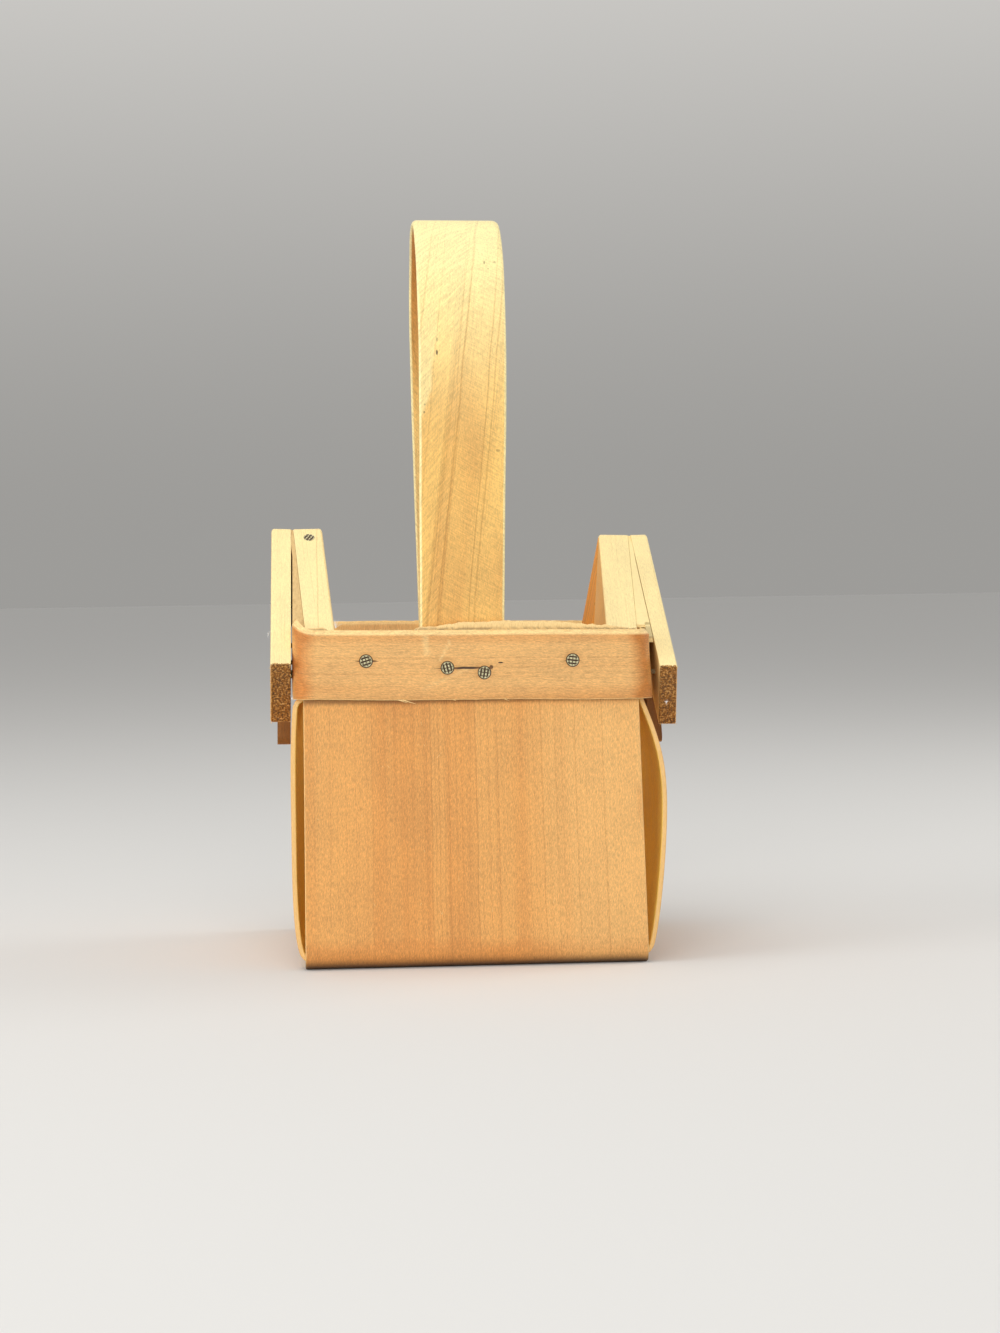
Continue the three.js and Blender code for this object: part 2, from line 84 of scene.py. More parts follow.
def power(name, description, watts):
    return number(name, description, watts, unit="POWER")


def colour(name, description, text):
    """A colour property whose default is written as the six hex digits that a screen shows."""
    shown = [int(text[i:i + 2], 16) / 255 for i in (0, 2, 4)]
    linear = [c / 12.92 if c <= 0.04045 else ((c + 0.055) / 1.055) ** 2.4 for c in shown]
    return FloatVectorProperty(
        name=name, description=description, default=linear, subtype="COLOR", min=0, max=1)


class WallSizes(bpy.types.PropertyGroup):
    front_thickness: length("Front veneer", "Thickness of the front, bottom and back veneer", 1.7)
    front_rim_width: length("Width at the rim", "Width of the front wall at the hoop", 109.2)
    front_base_width: length("Width at the bottom", "Width of the front wall at the bottom", 113.2)
    front_base_x: length("Shift at the bottom", "How far the front wall's foot lies to the right", 1.1)
    front_fold: length("Front fold", "Outer radius of the fold under the front wall", 6)
    torn_rise: length("Torn top", "Most that the front wall stands over the hoop", 2.8)
    back_drop: length("Back top", "How far the back wall ends under the hoop's top", 0.5)
    side_thickness: length("Side veneer", "Thickness of the side walls' veneer", 1.6)
    side_fold_outset: length("Side fold outset", "From the front veneer's edge to the side fold", 0.4)
    side_fold_rise: length("Side fold rise", "Height of the side fold", 4)
    side_fold_run: length("Side fold run", "Run of the side fold on the bottom", 4.5)
    side_fold_lean: angle("Side fold lean", "Outward lean of a side wall over its fold", 14)
    left_recess: length("Left recess", "How far the veneer ends under the left slats' edges", 1.3)
    right_recess: length("Right recess", "How far the veneer ends under the right slats' edges", 1.3)
    fit: length("Fit", "Clearance between pieces that lie against each other", 0.25)


class HoopSizes(bpy.types.PropertyGroup):
    width: length("Width", "Outer width of the hoop", 117.4)
    depth: length("Depth", "Outer depth of the hoop", 116.6)
    height: length("Height", "Height of the hoop's strip", 22.8)
    thickness: length("Thickness", "Thickness of the hoop's strip", 2)
    corner: length("Corner radius", "Outer radius of the hoop's corners", 6)
    lap: length("Lap", "How far the strip's ends overlap at the back", 30)
    lap_centre: length("Lap centre", "Middle of the lap, to the right of the middle", 1)
    lap_climb: length("Lap climb", "Run in which the outer end climbs over the inner one", 8)
    bevel: length("Rough bevel", "Height of the rough bevel along the hoop's top", 1.5)
    rim_height: length("Rim height", "Height of the hoop's top", 111.15)
    rim_shift: length("Rim shift", "How far the rim sits to the right", 0.7)
    rim_tilt: angle("Rim tilt", "How far the rim leans to the right", 0.7)
    flare: length("Flare", "How far the hoop's lower right edge stands out", 1.1)
    curl: length("Curl", "How far the hoop's top stands up at its left front corner", 3.2)


class HandleSizes(bpy.types.PropertyGroup):
    rim_width: length("Width at the rim", "Width of the strip at the hoop", 27.7)
    top_width: length("Width at the top", "Width of the strip at the top of its arch", 29.3)
    thickness: length("Thickness", "Thickness of the strip", 2.2)
    leg_drop: length("Leg", "From the hoop's top down to the end of a leg", 30)
    spring: length("Spring", "From the hoop's top up to where the legs bend", 70.6)
    rise: length("Rise", "From the hoop's top up to the top of the arch", 138.9)
    front_x: length("Front leg", "Middle of the front leg at the hoop", -3)
    top_x: length("Arch", "Middle of the strip at the top of the arch", -2.4)
    back_x: length("Back leg", "Middle of the back leg at the hoop", 1.2)
    ease: length("Eased edge", "Rounding of the strip's long edges", 0.7)
    worn: length("Worn edge", "The same on top of the arch", 2.3)


class SlatSizes(bpy.types.PropertyGroup):
    width: length("Width", "Width of the slats", 25.4)
    inner_thickness: length("Inner thickness", "Thickness of the inner slats", 8.9)
    left_thickness: length("Left outer thickness", "Thickness of the left outer slats", 6.7)
    right_thickness: length("Right outer thickness", "Thickness of the right outer slats", 5.8)
    left_lean: angle("Left lean", "Inward lean of the left outer slats", 0.4)
    right_lean: angle("Right lean", "Inward lean of the right outer slats", 4.2)
    left_standoff: length("Left standoff", "From the hoop to the left outer slats", 0.4)
    right_standoff: length("Right standoff", "From the hoop to the right outer slats", 2.05)
    left_peak: length("Left peak", "From the hoop's top up to the left peak", 33.7)
    right_peak: length("Right peak", "From the hoop's top up to the right peak", 31.4)
    left_drop: length("Left end drop", "From the hoop's top down to the top of a left slat's end", 10.8)
    right_drop: length("Right end drop", "From the hoop's top down to the top of a right slat's end", 12.1)
    left_stray: angle("Left stray", "How much more the left inner slats lean than the gable", 2.4)
    left_gape: length("Left gape", "From the left gable to its inner slats, at the hoop's top", 0.95)
    ease: length("Eased edge", "Rounding of the slats' edges", 0.8)
    left_reach: length("Left reach", "How far the left inner slats stand into the gable", 0.9)
    right_reach: length("Right reach", "How far the right inner slats stand into the gable", 1.25)
    left_slit: length("Left slit", "Open gap beside the left outer slats", 0.45)
    right_slit: length("Right slit", "Open gap beside the right outer slats", 0.14)
    post_width: length("Post width", "Width of the posts", 25.4)
    post_thickness: length("Post thickness", "Thickness of the posts", 4.5)
    post_drop: length("Post drop", "From the hoop's top down to a post's end", 40.3)
    post_corner: length("Post corner", "Radius of a post's lower corners", 3)


class BulgeSizes(bpy.types.PropertyGroup):
    left: length("Left bulge", "How far the left wall stands out past the hoop", 2.95)
    right: length("Right bulge", "How far the right wall stands out past the hoop", 8.05)
    left_lean: angle("Left lean", "Outward lean of the left wall under the hoop", 10)
    right_lean: angle("Right lean", "Outward lean of the right wall under the hoop", 22)
    edge_lean: angle("Edge lean", "The same at the left wall's front edge, which springs out", 8)
    kick: length("Kick", "How far the left wall's front edge springs out right under the hoop", 2.1)
    left_tuck: angle("Left tuck", "Outward lean of the left wall over its fold, behind its front edge", -8)
    left_middle: length("Left middle", "How far the left wall stands out behind its front edge", -0.3)
    left_share: number("Left share", "Height of its fullest point, by the height under the post", 0.734)
    right_share: number("Right share", "Height of its fullest point, by the height under the post", 0.748)


class NailSizes(bpy.types.PropertyGroup):
    head: length("Head", "Radius of a nail's head", 1.95)
    sink: length("Sink", "How far a head lies under the wood's surface", 0.12)
    groove: length("Groove", "Depth of the grooves across a head", 0.14)
    pitch: length("Groove pitch", "From one groove to the next", 1.1)
    dent: length("Dent", "Depth of the dent that a head has pressed", 0.35)
    dent_reach: length("Dent reach", "How far a dent runs past its head", 1.5)


class WoodColours(bpy.types.PropertyGroup):
    wall: colour("Wall", "Veneer of the walls", "e8ae63")
    # The wall's deep colour is also painted shade in the front strip's folds.
    wall_deep: colour("Wall, deep", "Redder bands of the walls", "d9954c")
    # Painted light: the inside colour is brighter than the wall, to stand for the light that reaches the
    # side walls' inner faces through the thin veneer.
    inner: colour("Wall, inside", "Inner faces of the side walls", "ffd862")
    wall_line: colour("Wall, lines", "Growth lines of the walls", "b97a3c")
    hoop: colour("Hoop", "Veneer of the hoop", "e4b16d")
    # Painted shade: the hoop's deep colour darkens its corners.
    hoop_deep: colour("Hoop, deep", "The hoop's corners", "c67d35")
    hoop_line: colour("Hoop, lines", "Growth lines of the hoop", "bd8447")
    handle: colour("Handle", "Bentwood of the handle", "f5c66e")
    # The handle's deep colour is also painted shade under the top of the arch.
    handle_deep: colour("Handle, deep", "Redder parts of the handle, and the inside of its arch", "c07c3a")
    # The pale handle colour is painted light on the top of the arch and on the lower inner faces, and
    # painted highlight along the long edges; it is also the cut edges' colour and that of a paler patch by
    # the left edge.
    handle_pale: colour("Handle, pale", "The arch, where hands have rubbed it", "fbebaa")
    handle_line: colour("Handle, lines", "Growth lines of the handle", "b8823a")
    slat: colour("Slat", "Faces of the slats", "eba94c")
    # Painted light: the back inner slats get a brighter orange, to stand for light from the left.
    slat_inner: colour("Slat, inside", "Faces of the inner slats at the back", "f7a524")
    # The pale slat colour is planed wood and painted highlight along the slats' top edges, painted light on
    # shaded slat faces, and the pale tufts of the sawn ends.
    slat_pale: colour("Slat, pale", "Planed edges of the slats", "f7e0a0")
    slat_line: colour("Slat, lines", "Growth lines of the slats", "b17a34")
    cut: colour("Cut edge", "Rough edges of the veneer", "f2d08e")
    # The post colour is darker wood and also painted shade under the slats.
    post: colour("Post", "The posts over the hoop", "74460e")
    end_grain: colour("End grain", "Sawn ends of the slats", "965d0c")
    # The crack colour is also painted shade along the hoop's edges and in the front strip's folds.
    crack: colour("Crack", "Cracks and the gaps round the nails", "3d2712")
    steel: colour("Steel", "The nails", "d8d0a4")
    floor: colour("Floor", "The floor and the background", "dcdad6")


class StudioSettings(bpy.types.PropertyGroup):
    key: power("Key", "Power of the soft lamp overhead", 6.7)
    fill: power("Fill", "Power of the soft lamp in front", 16)
    side: power("Side", "Power of the soft lamp on the left", 7)
    rim: power("Rim", "Power of the soft lamp behind, on the right", 3.5)
    ambient: number("Ambient", "Strength of the light from all round", 0.46)
    # Horizon sets how dark the painted shade of the background is at the floor's far end.
    horizon: number("Horizon", "Brightness of the background at the floor's far end", 0.475)
    lens: number("Lens", "Focal length of the camera in mm", 81)
    yaw: angle("Yaw", "Turn of the camera to the left", -4)
    pitch: angle("Pitch", "Upward tilt of the camera", -2.4)
    roll: angle("Roll", "Roll of the camera", -0.85)


class BasketSettings(bpy.types.PropertyGroup):
    walls: PointerProperty(type=WallSizes, name="Walls", description="Sizes of the two veneer strips")
    bulges: PointerProperty(type=BulgeSizes, name="Bulges", description="How the side walls bulge")
    hoop: PointerProperty(type=HoopSizes, name="Hoop", description="Sizes of the hoop and the rim")
    handle: PointerProperty(type=HandleSizes, name="Handle", description="Sizes of the handle")
    slats: PointerProperty(type=SlatSizes, name="Slats", description="Sizes of the slats and posts")
    nails: PointerProperty(type=NailSizes, name="Nails", description="Sizes of the nails")
    colours: PointerProperty(type=WoodColours, name="Colours", description="Colours of the wood and steel")
    studio: PointerProperty(type=StudioSettings, name="Studio", description="Lamps and camera")


def settings():
    return bpy.context.scene.basket


# Small helpers

def lerp(a, b, share):
    return a + (b - a) * share


def clamp(value, low=0.0, high=1.0):
    return max(low, min(high, value))


def straight(value, start, stop):
    """Rises evenly from 0 at start to 1 at stop."""
    return clamp((value - start) / (stop - start))


def smooth(value, start, stop):
    """Rises softly from 0 at start to 1 at stop."""
    share = straight(value, start, stop)
    return share * share * (3 - 2 * share)


def table_at(table, place, rise=straight):
    """Reads a table of places and values, joined by straight lines or by another rise."""
    for (x0, y0), (x1, y1) in zip(table, table[1:]):
        if place <= x1:
            return lerp(y0, y1, rise(place, x0, x1))
    return table[-1][1]


def steps(start, stop, pitch):
    """Even places from start to stop, both held, about a pitch apart."""
    count = max(1, round(abs(stop - start) / pitch))
    return [lerp(start, stop, i / count) for i in range(count + 1)]


def rough(x, y, size, seed=0):
    """Smooth noise from -1 to 1 whose bumps are about the given size."""
    return noise.noise(Vector((x / size, y / size, seed * 7.31)))


class Track:
    """A line in a plane, made of close points, with places measured along its length."""

    def __init__(self, points):
        self.points = [Vector(p) for p in points]
        self.marks = [0.0]
        for a, b in zip(self.points, self.points[1:]):
            self.marks.append(self.marks[-1] + (b - a).length)
        self.zero = 0.0
        flats = [(b - a).normalized() for a, b in zip(self.points, self.points[1:])]
        inner = [(a + b).normalized() for a, b in zip(flats, flats[1:])]
        self.along = [flats[0], *inner, flats[-1]]

    def at(self, place):
        """The point at a place on the line, and the direction to the left of it."""
        mark = place + self.zero
        i = int(clamp(bisect_right(self.marks, mark) - 1, 0, len(self.points) - 2))
        share = (mark - self.marks[i]) / (self.marks[i + 1] - self.marks[i])
        point = self.points[i].lerp(self.points[i + 1], share)
        along = self.along[i].lerp(self.along[i + 1], clamp(share)).normalized()
        return point, Vector((-along.y, along.x))

    def mark(self, index):
        """The place of one of the line's points, counted from either end."""
        return self.marks[index] - self.zero


def arc(centre, radius, start, stop, count=8):
    """Points on a round stretch, between two angles in quarter turns."""
    turns = [lerp(start, stop, i / count) * math.pi / 2 for i in range(count + 1)]
    return [Vector(centre) + radius * Vector((math.cos(t), math.sin(t))) for t in turns]


def joined(*stretches):
    """One list of points from several, without the points that repeat."""
    points = []
    for stretch in stretches:
        for p in stretch:
            if not points or (Vector(p) - points[-1]).length > MM / 100:
                points.append(Vector(p))
    return points


def sheet(columns, rows, place, thickness, ease, reach=None):
    """A strip of wood with grid lines at the given places across and along it.

    Its vertices keep their place in the wood in "grain": across, along the grain and down from the face.
    The place function puts them in the scene, and the reach function may move their places along.
    """
    bm = bmesh.new()
    grain = bm.verts.layers.float_vector.new("grain")
    edge = bm.verts.layers.float.new("edge")
    last_column, last_row = len(columns) - 1, len(rows) - 1
    bmesh.ops.create_grid(bm, x_segments=last_column, y_segments=last_row, size=0.5)
    for v in bm.verts:
        i = round((v.co.x + 0.5) * last_column)
        j = round((v.co.y + 0.5) * last_row)
        v[edge] = float(i in (0, last_column) or j in (0, last_row))
        v[grain] = (columns[i], reach(columns[i], rows[j]) if reach else rows[j], 0)
    made = bmesh.ops.extrude_face_region(bm, geom=bm.faces[:])
    inner = {v for v in made["geom"] if isinstance(v, bmesh.types.BMVert)}
    for v in bm.verts:
        across, along, _ = v[grain]
        eased = ease * v[edge]
        depth = thickness - eased if v in inner else eased
        v[grain] = (across, along, depth)
        v.co = place(across, along, depth)
    return bm


def edged(half, pitch, ease=0.3 * MM):
    """Places across a strip, with a close one beside each edge."""
    return [-half, *steps(ease - half, half - ease, pitch), half]


def paint(bm, name, function):
    """Gives every vertex a value from 0 to 1 under a name that the materials read."""
    layer = bm.verts.layers.float.new(name)
    grain = bm.verts.layers.float_vector["grain"]
    for v in bm.verts:
        v[layer] = clamp(function(v, v[grain]))


def dent(bm, centre, inward):
    """Presses a dent with a round wall into a face, round a nail head, on a finer net."""
    grain = bm.verts.layers.float_vector["grain"]
    nails = settings().nails
    head, reach = nails.head, nails.head + nails.dent_reach

    def near(v, radius):
        return v[grain].z < MM / 2 and (v.co - centre).length < radius

    edges = [e for e in bm.edges if all(near(v, reach + MM) for v in e.verts)]
    bmesh.ops.subdivide_edges(bm, edges=edges, cuts=2, use_grid_fill=True)
    for v in bm.verts:
        if near(v, reach):
            away = (v.co - centre) - inward * (v.co - centre).dot(inward)
            wall = 1 - smooth(away.length, head * 1.03, head * 1.12)
            slope = 1 - smooth(away.length, head, reach)
            v.co += inward * nails.dent * (0.75 * wall + 0.25 * slope)


def new_object(name, data):
    made = bpy.data.objects.new(name, data)
    bpy.context.scene.collection.objects.link(made)
    return made


def meshed(bm, name):
    """An object that holds the bmesh."""
    mesh = bpy.data.meshes.new(name)
    bm.to_mesh(mesh)
    bm.free()
    return new_object(name, mesh)


def finish(bm, name, material, replaced):
    """Makes the bmesh a piece that rides with the basket and stands for the given nodes."""
    bmesh.ops.recalc_face_normals(bm, faces=bm.faces[:])
    piece = meshed(bm, name)
    piece.data.shade_smooth()
    piece.data.set_sharp_from_angle(angle=SHARP)
    piece.data.materials.append(material)
    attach(piece, "root")
    if replaced:
        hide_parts(*replaced)
    return piece


# Where the rim and its pieces lie

def body_offset():
    """The middle of the basket's own frame, found from the box of the front veneer."""
    low, high = (Vector(corner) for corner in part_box("front_back_strip"))
    middle = (low + high) / 2
    return Vector((middle.x - settings().walls.front_base_x, middle.y, 0))


def rim_frame():
    """The tilted frame of the rim, whose zero is the middle of the hoop's top."""
    hoop = settings().hoop
    place = body_offset() + Vector((hoop.rim_shift, 0, hoop.rim_height))
    return Matrix.Translation(place) @ Matrix.Rotation(hoop.rim_tilt, 4, "Y")


def rim_to_body(x, z):
    """A point of the rim's frame, in X and Z of the basket's own frame."""
    hoop = settings().hoop
    tilt = hoop.rim_tilt
    return (
        hoop.rim_shift + x * math.cos(tilt) + z * math.sin(tilt),
        hoop.rim_height - x * math.sin(tilt) + z * math.cos(tilt),
    )


class Side:
    """Where the pieces of one side lie, in the rim's frame."""

    def __init__(self, name):
        s = settings()

        def own(group, size):
            return getattr(group, f"{name}_{size}")

        self.sign = SIDES[name]
        self.peak = own(s.slats, "peak")
        self.slit = own(s.slats, "slit")
        self.outer_thickness = own(s.slats, "thickness")
        self.outer_lean = own(s.slats, "lean")
        self.outer_x = s.hoop.width / 2 + own(s.slats, "standoff")
        self.veneer_x = s.hoop.width / 2 - s.hoop.thickness - s.walls.fit
        self.inner_x = self.veneer_x - s.walls.side_thickness - s.walls.fit
        shift = self.outer_x - self.peak * math.tan(self.outer_lean) - s.walls.fit - self.veneer_x
        self.gable_lean = math.atan2(shift, self.peak)
        self.slope = math.atan2(self.peak + own(s.slats, "drop"), s.hoop.depth / 2)
        self.stray = s.slats.left_stray if name == "left" else 0
        self.gape = s.slats.left_gape if name == "left" else 0
        self.reach = own(s.slats, "reach")
        self.recess = own(s.walls, "recess")
        self.bulge = getattr(s.bulges, name)
        self.bulge_lean = own(s.bulges, "lean")
        self.bulge_share = own(s.bulges, "share")

    def frame(self, outer, stray=True):
        """The frame of the side's outer or inner slats: X is 0 on the face towards the veneer."""
        x = self.outer_x if outer else self.inner_x - self.gape * stray
        turn = -self.outer_lean if outer else self.gable_lean + self.stray * stray
        lean = Matrix.Identity(4)
        lean[0][2] = self.sign * math.tan(turn)
        return rim_frame() @ Matrix.Translation((self.sign * x, 0, 0)) @ lean


def half_depths():
    """From the middle to the outer face of the front wall, and to that of the legs and the side veneer."""
    s = settings()
    wall = s.hoop.depth / 2 - s.hoop.thickness - s.walls.fit
    leg = wall - s.walls.front_thickness - s.walls.fit
    return wall, leg


# Materials

# The colour sockets of a Mix node
MIX_A, MIX_B, MIX_RESULT = 6, 7, 2


class Nodes:
    """Adds nodes to a tree. Each method gives back the socket that holds its result."""

    def __init__(self, tree):
        self.tree = tree

    def node(self, kind, inputs, output=0, **options):
        made = self.tree.nodes.new("ShaderNode" + kind)
        for key, value in options.items():
            setattr(made, key, value)
        for key, value in inputs.items():
            self.feed(made.inputs[key], value)
        return made.outputs[output]

    def feed(self, socket, value):
        if isinstance(value, bpy.types.NodeSocket):
            self.tree.links.new(value, socket)
        else:
            socket.default_value = value


class Shader(Nodes):
    """Builds the nodes of one material."""

    def __init__(self, name):
        self.material = bpy.data.materials.new(name)
        self.material.use_nodes = True
        super().__init__(self.material.node_tree)
        self.surface = self.tree.nodes["Principled BSDF"]

    def attribute(self, name, output="Fac"):
        return self.node("Attribute", {}, output, attribute_name=name)

    def math(self, operation, a, b=0.0, clamped=False):
        return self.node("Math", {0: a, 1: b}, operation=operation, use_clamp=clamped)

    def plus(self, a, b):
        return self.math("ADD", a, b)

    def minus(self, a, b):
        return self.math("SUBTRACT", a, b)

    def times(self, a, b):
        return self.math("MULTIPLY", a, b)

    def away(self, value, middle):
        """How far a value lies from a middle, either way."""
        return self.math("ABSOLUTE", self.minus(value, middle))

    def parts(self, vector):
        """The three numbers of a vector."""
        made = self.tree.nodes.new("ShaderNodeSeparateXYZ")
        self.feed(made.inputs[0], vector)
        return made.outputs[:]

    def range(self, value, low, high, to_low=0.0, to_high=1.0):
        inputs = {"Value": value, "From Min": low, "From Max": high, "To Min": to_low, "To Max": to_high}
        return self.node("MapRange", inputs, interpolation_type="SMOOTHSTEP")

    def mix(self, share, a, b, blend="MIX"):
        inputs = {0: share, MIX_A: opaque(a), MIX_B: opaque(b)}
        return self.node("Mix", inputs, MIX_RESULT, data_type="RGBA", blend_type=blend)

    def streaks(self, coords, width, run, seed, detail=2.0, turn=0.0, distortion=0.0):
        """Noise drawn out along the grain: streaks of about a width and a run, turned by an angle."""
        shift = tuple(seed * step * MM for step in (37, 13, 21))
        placed = self.node("Mapping", {
            "Vector": coords, "Location": shift, "Rotation": (0, 0, turn), "Scale": (width, run, width),
        }, vector_type="TEXTURE")
        look = {"Scale": 1.0, "Detail": detail, "Roughness": 0.55, "Distortion": distortion}
        return self.node("TexNoise", {"Vector": placed, **look})

    def finish(self, colour, height, roughness, distance):
        self.feed(self.surface.inputs["Base Color"], colour)
        self.feed(self.surface.inputs["Roughness"], roughness)
        bump = self.node("Bump", {"Height": height, "Strength": 0.5, "Distance": distance})
        self.feed(self.surface.inputs["Normal"], bump)
        return self.material


def opaque(value):
    """A colour with its alpha, or the socket as it is."""
    if isinstance(value, bpy.types.NodeSocket):
        return value
    return (*value[:3], 1.0)


def lerp_colour(a, b, share):
    return [lerp(x, y, share) for x, y in zip(a, b)]


def crack(sh, coords, across, start, stop, width):
    """A thin split along the grain at a place across it, which tapers to its two ends."""
    x, y, _ = sh.parts(coords)
    wander = sh.streaks(coords, 4 * MM, 5 * MM, 5)
    off = sh.away(sh.plus(x, sh.times(wander, 0.5 * MM)), across + 0.25 * MM)
    centre, half = (start + stop) / 2, (stop - start) / 2
    away = sh.away(y, centre)
    taper = sh.range(away, half * 0.4, half, width, width * 0.1)
    inside = sh.math("LESS_THAN", away, half)
    line = sh.range(sh.math("DIVIDE", off, taper), 0.5, 1.0, 1.0, 0.0)
    return sh.times(line, inside)


def scratched(sh, coords, grain_turn, turns):
    """Fine scratches that lean one way on one part of a strip and the other way on the rest."""
    across, along, _ = sh.parts(coords)
    rising = sh.streaks(coords, 0.4 * MM, 6 * MM, 37, 2.0, turns[0])
    falling = sh.streaks(coords, 0.4 * MM, 6 * MM, 40, 2.0, turns[1])
    side = sh.minus(across, sh.times(along, math.tan(-grain_turn)))
    turned = sh.range(side, 7 * MM, 11 * MM)
    return sh.plus(sh.times(falling, turned), sh.times(rising, sh.minus(1.0, turned)))


def sawn_end(sh, coords, tone, pale, seed, end_at):
    """Dark end grain with pale tufts, past a wavy line across the grain."""
    c = settings().colours
    _, along, _ = sh.parts(coords)
    tufts = sh.streaks(coords, 0.7 * MM, 0.7 * MM, seed, 5.0, 0.0, 0.35)
    sawn = sh.mix(sh.range(tufts, 0.5, 0.68, 0.0, 0.6), c.end_grain, lerp_colour(c.slat, pale, 0.35))
    sawn = sh.mix(sh.range(tufts, 0.52, 0.38, 0.0, 0.8), sawn, c.crack)
    wavy = sh.plus(along, sh.times(sh.minus(tufts, 0.5), 1.6 * MM))
    return sh.mix(sh.range(wavy, end_at, end_at + 0.2 * MM), tone, sawn)


def wood(name, seed, face, deep, line, pale, cut, grain_turn=0.0, hatch=None, lines=0.5, flecks=0.3,
         nap=0.11, cracks=(), rings=(), holes=(), specks=(), end_at=None, pale_edge=None, rim_highlight=None,
         seam=None, banding=0.6):
    """Bare wood whose grain follows the piece: bands, growth lines, fibres, flecks and rough cut edges.

    Places across and along the grain: rings are growth lines (across, width, strength, lean), cracks are
    (across, start, stop, width), holes (across, along, radius), and specks (across, along, half width,
    half length, strength). A sawn end starts at end_at, and a seam is a line at a depth, with a slope.
    """
    c = settings().colours
    sh = Shader(name)
    coords = sh.attribute("grain", "Vector")
    across, along, depth = sh.parts(coords)
    bands = sh.streaks(coords, 11 * MM, 0.6, seed, 2.0, grain_turn, 0.2)
    growth = sh.streaks(coords, 1.7 * MM, 0.25, seed + 1, 2.0, grain_turn, 0.2)
    fine = sh.streaks(coords, 0.5 * MM, 0.06, seed + 2, 2.0, grain_turn)
    fibres = sh.streaks(coords, 0.26 * MM, 1.9 * MM, seed + 3, 3.0, grain_turn)
    mottle = sh.streaks(coords, 13 * MM, 20 * MM, seed + 4, 3.0)
    pores = sh.streaks(coords, 0.3 * MM, 1.4 * MM, seed + 5, 1.0, grain_turn)
    fuzz = sh.streaks(coords, 0.3 * MM, 0.9 * MM, seed + 8, 2.0, 0.3, 0.4)

    broad = sh.range(bands, 0.45, 0.75, 0.0, banding)
    # The deep layer holds redder bands of the wood, and painted shade in the front strip's folds, at the
    # hoop's corners and under the top of the handle's arch.
    tone = sh.mix(sh.math("ADD", broad, sh.attribute("deep"), clamped=True), face, deep)
    tone = sh.mix(sh.times(sh.range(growth, 0.55, 0.75), lines), tone, line)
    tone = sh.mix(sh.times(sh.range(fine, 0.5, 0.75), lines * 0.6), tone, line)
    pale_share = sh.attribute("pale")
    # Planed paleness and painted highlight along a slat's top edge.
    if pale_edge:
        pale_share = sh.math("MAXIMUM", pale_share, sh.range(across, pale_edge * 1.4, pale_edge * 0.7))
    # Painted highlight: a pale strip along both long edges.
    if rim_highlight:
        rubbed = sh.range(sh.math("ABSOLUTE", across), rim_highlight - 0.9 * MM, rim_highlight - 0.55 * MM, 0.0, 0.9)
        pale_share = sh.math("MAXIMUM", pale_share, rubbed)
    # The pale layer holds paler wood, worn streaks and cut bevels, and painted light on shaded inner faces
    # and on the top of the handle's arch.
    tone = sh.mix(pale_share, tone, pale)
    tone = sh.mix(sh.times(sh.range(fine, 0.58, 0.68), sh.times(pale_share, 0.13)), tone, line)
    for ring, width, strength, *slope in rings:
        shown_share = sh.range(pale_share, 0.3, 1.0, strength, 0.3 * strength)
        tone = sh.mix(sh.times(stripe(sh, coords, ring, width, *slope), shown_share), tone, line)
    if seam:
        wander = sh.times(sh.streaks(coords, 9 * MM, 40 * MM, seed + 2), 1.6 * MM)
        middle = sh.plus(seam[0] + 0.8 * MM, sh.times(along, seam[1]))
        off = sh.away(sh.plus(depth, wander), middle)
        tone = sh.mix(sh.range(off, 0.3 * MM, 0.1 * MM, 0.0, 0.25), tone, line)
    light = sh.plus(sh.range(fibres, 0.3, 0.7, -nap, nap), sh.range(mottle, 0.3, 0.7, 0.95, 1.04))
    light = sh.plus(light, sh.range(fuzz, 0.35, 0.75, -0.6 * nap, nap))
    tone = sh.mix(sh.times(sh.range(pores, 0.68, 0.78), flecks), tone, line)
    height = sh.minus(sh.plus(fibres, fuzz), sh.times(growth, lines))
    if hatch:
        scratches = scratched(sh, coords, grain_turn, hatch)
        light = sh.plus(light, sh.range(scratches, 0.35, 0.65, 0.08, -0.09))
        height = sh.plus(height, scratches)
    edge = sh.times(sh.attribute("edge"), sh.range(fibres, 0.2, 0.6, 0.65, 1.0))
    tone = sh.mix(edge, tone, cut)
    if end_at is not None:
        tone = sawn_end(sh, coords, tone, pale, seed + 7, end_at)
    tone = sh.mix(sh.range(edge, 0.0, 1.0, 1.0, 0.35), tone, grey(sh, light), "MULTIPLY")
    for split_place in cracks:
        split = crack(sh, coords, *split_place)
        tone = sh.mix(split, tone, c.crack)
        height = sh.minus(height, sh.times(split, 3.0))
    plane = sh.node("CombineXYZ", {0: across, 1: along})
    for *centre, radius in holes:
        away = sh.node("VectorMath", {0: plane, 1: (*centre, 0)}, "Value", operation="DISTANCE")
        tone = sh.mix(sh.times(sh.range(away, radius * 1.9, radius), 0.3), tone, line)
        tone = sh.mix(sh.range(away, radius + 0.1 * MM, radius - 0.08 * MM), tone, c.crack)
    for x, y, wide, tall, strength in specks:
        off = [sh.math("DIVIDE", sh.minus(across, x), wide), sh.math("DIVIDE", sh.minus(along, y), tall)]
        far = sh.plus(*(sh.times(share, share) for share in off))
        tone = sh.mix(sh.range(far, 1.3, 0.4, 0.0, strength), tone, c.crack)
    # Painted shade: the gap layer darkens the wood to the crack colour along the hoop's edges and in the
    # folds.
    tone = sh.mix(sh.attribute("gap"), tone, c.crack)
    return sh.finish(tone, height, sh.range(mottle, 0.3, 0.7, 0.52, 0.64), 0.1 * MM)


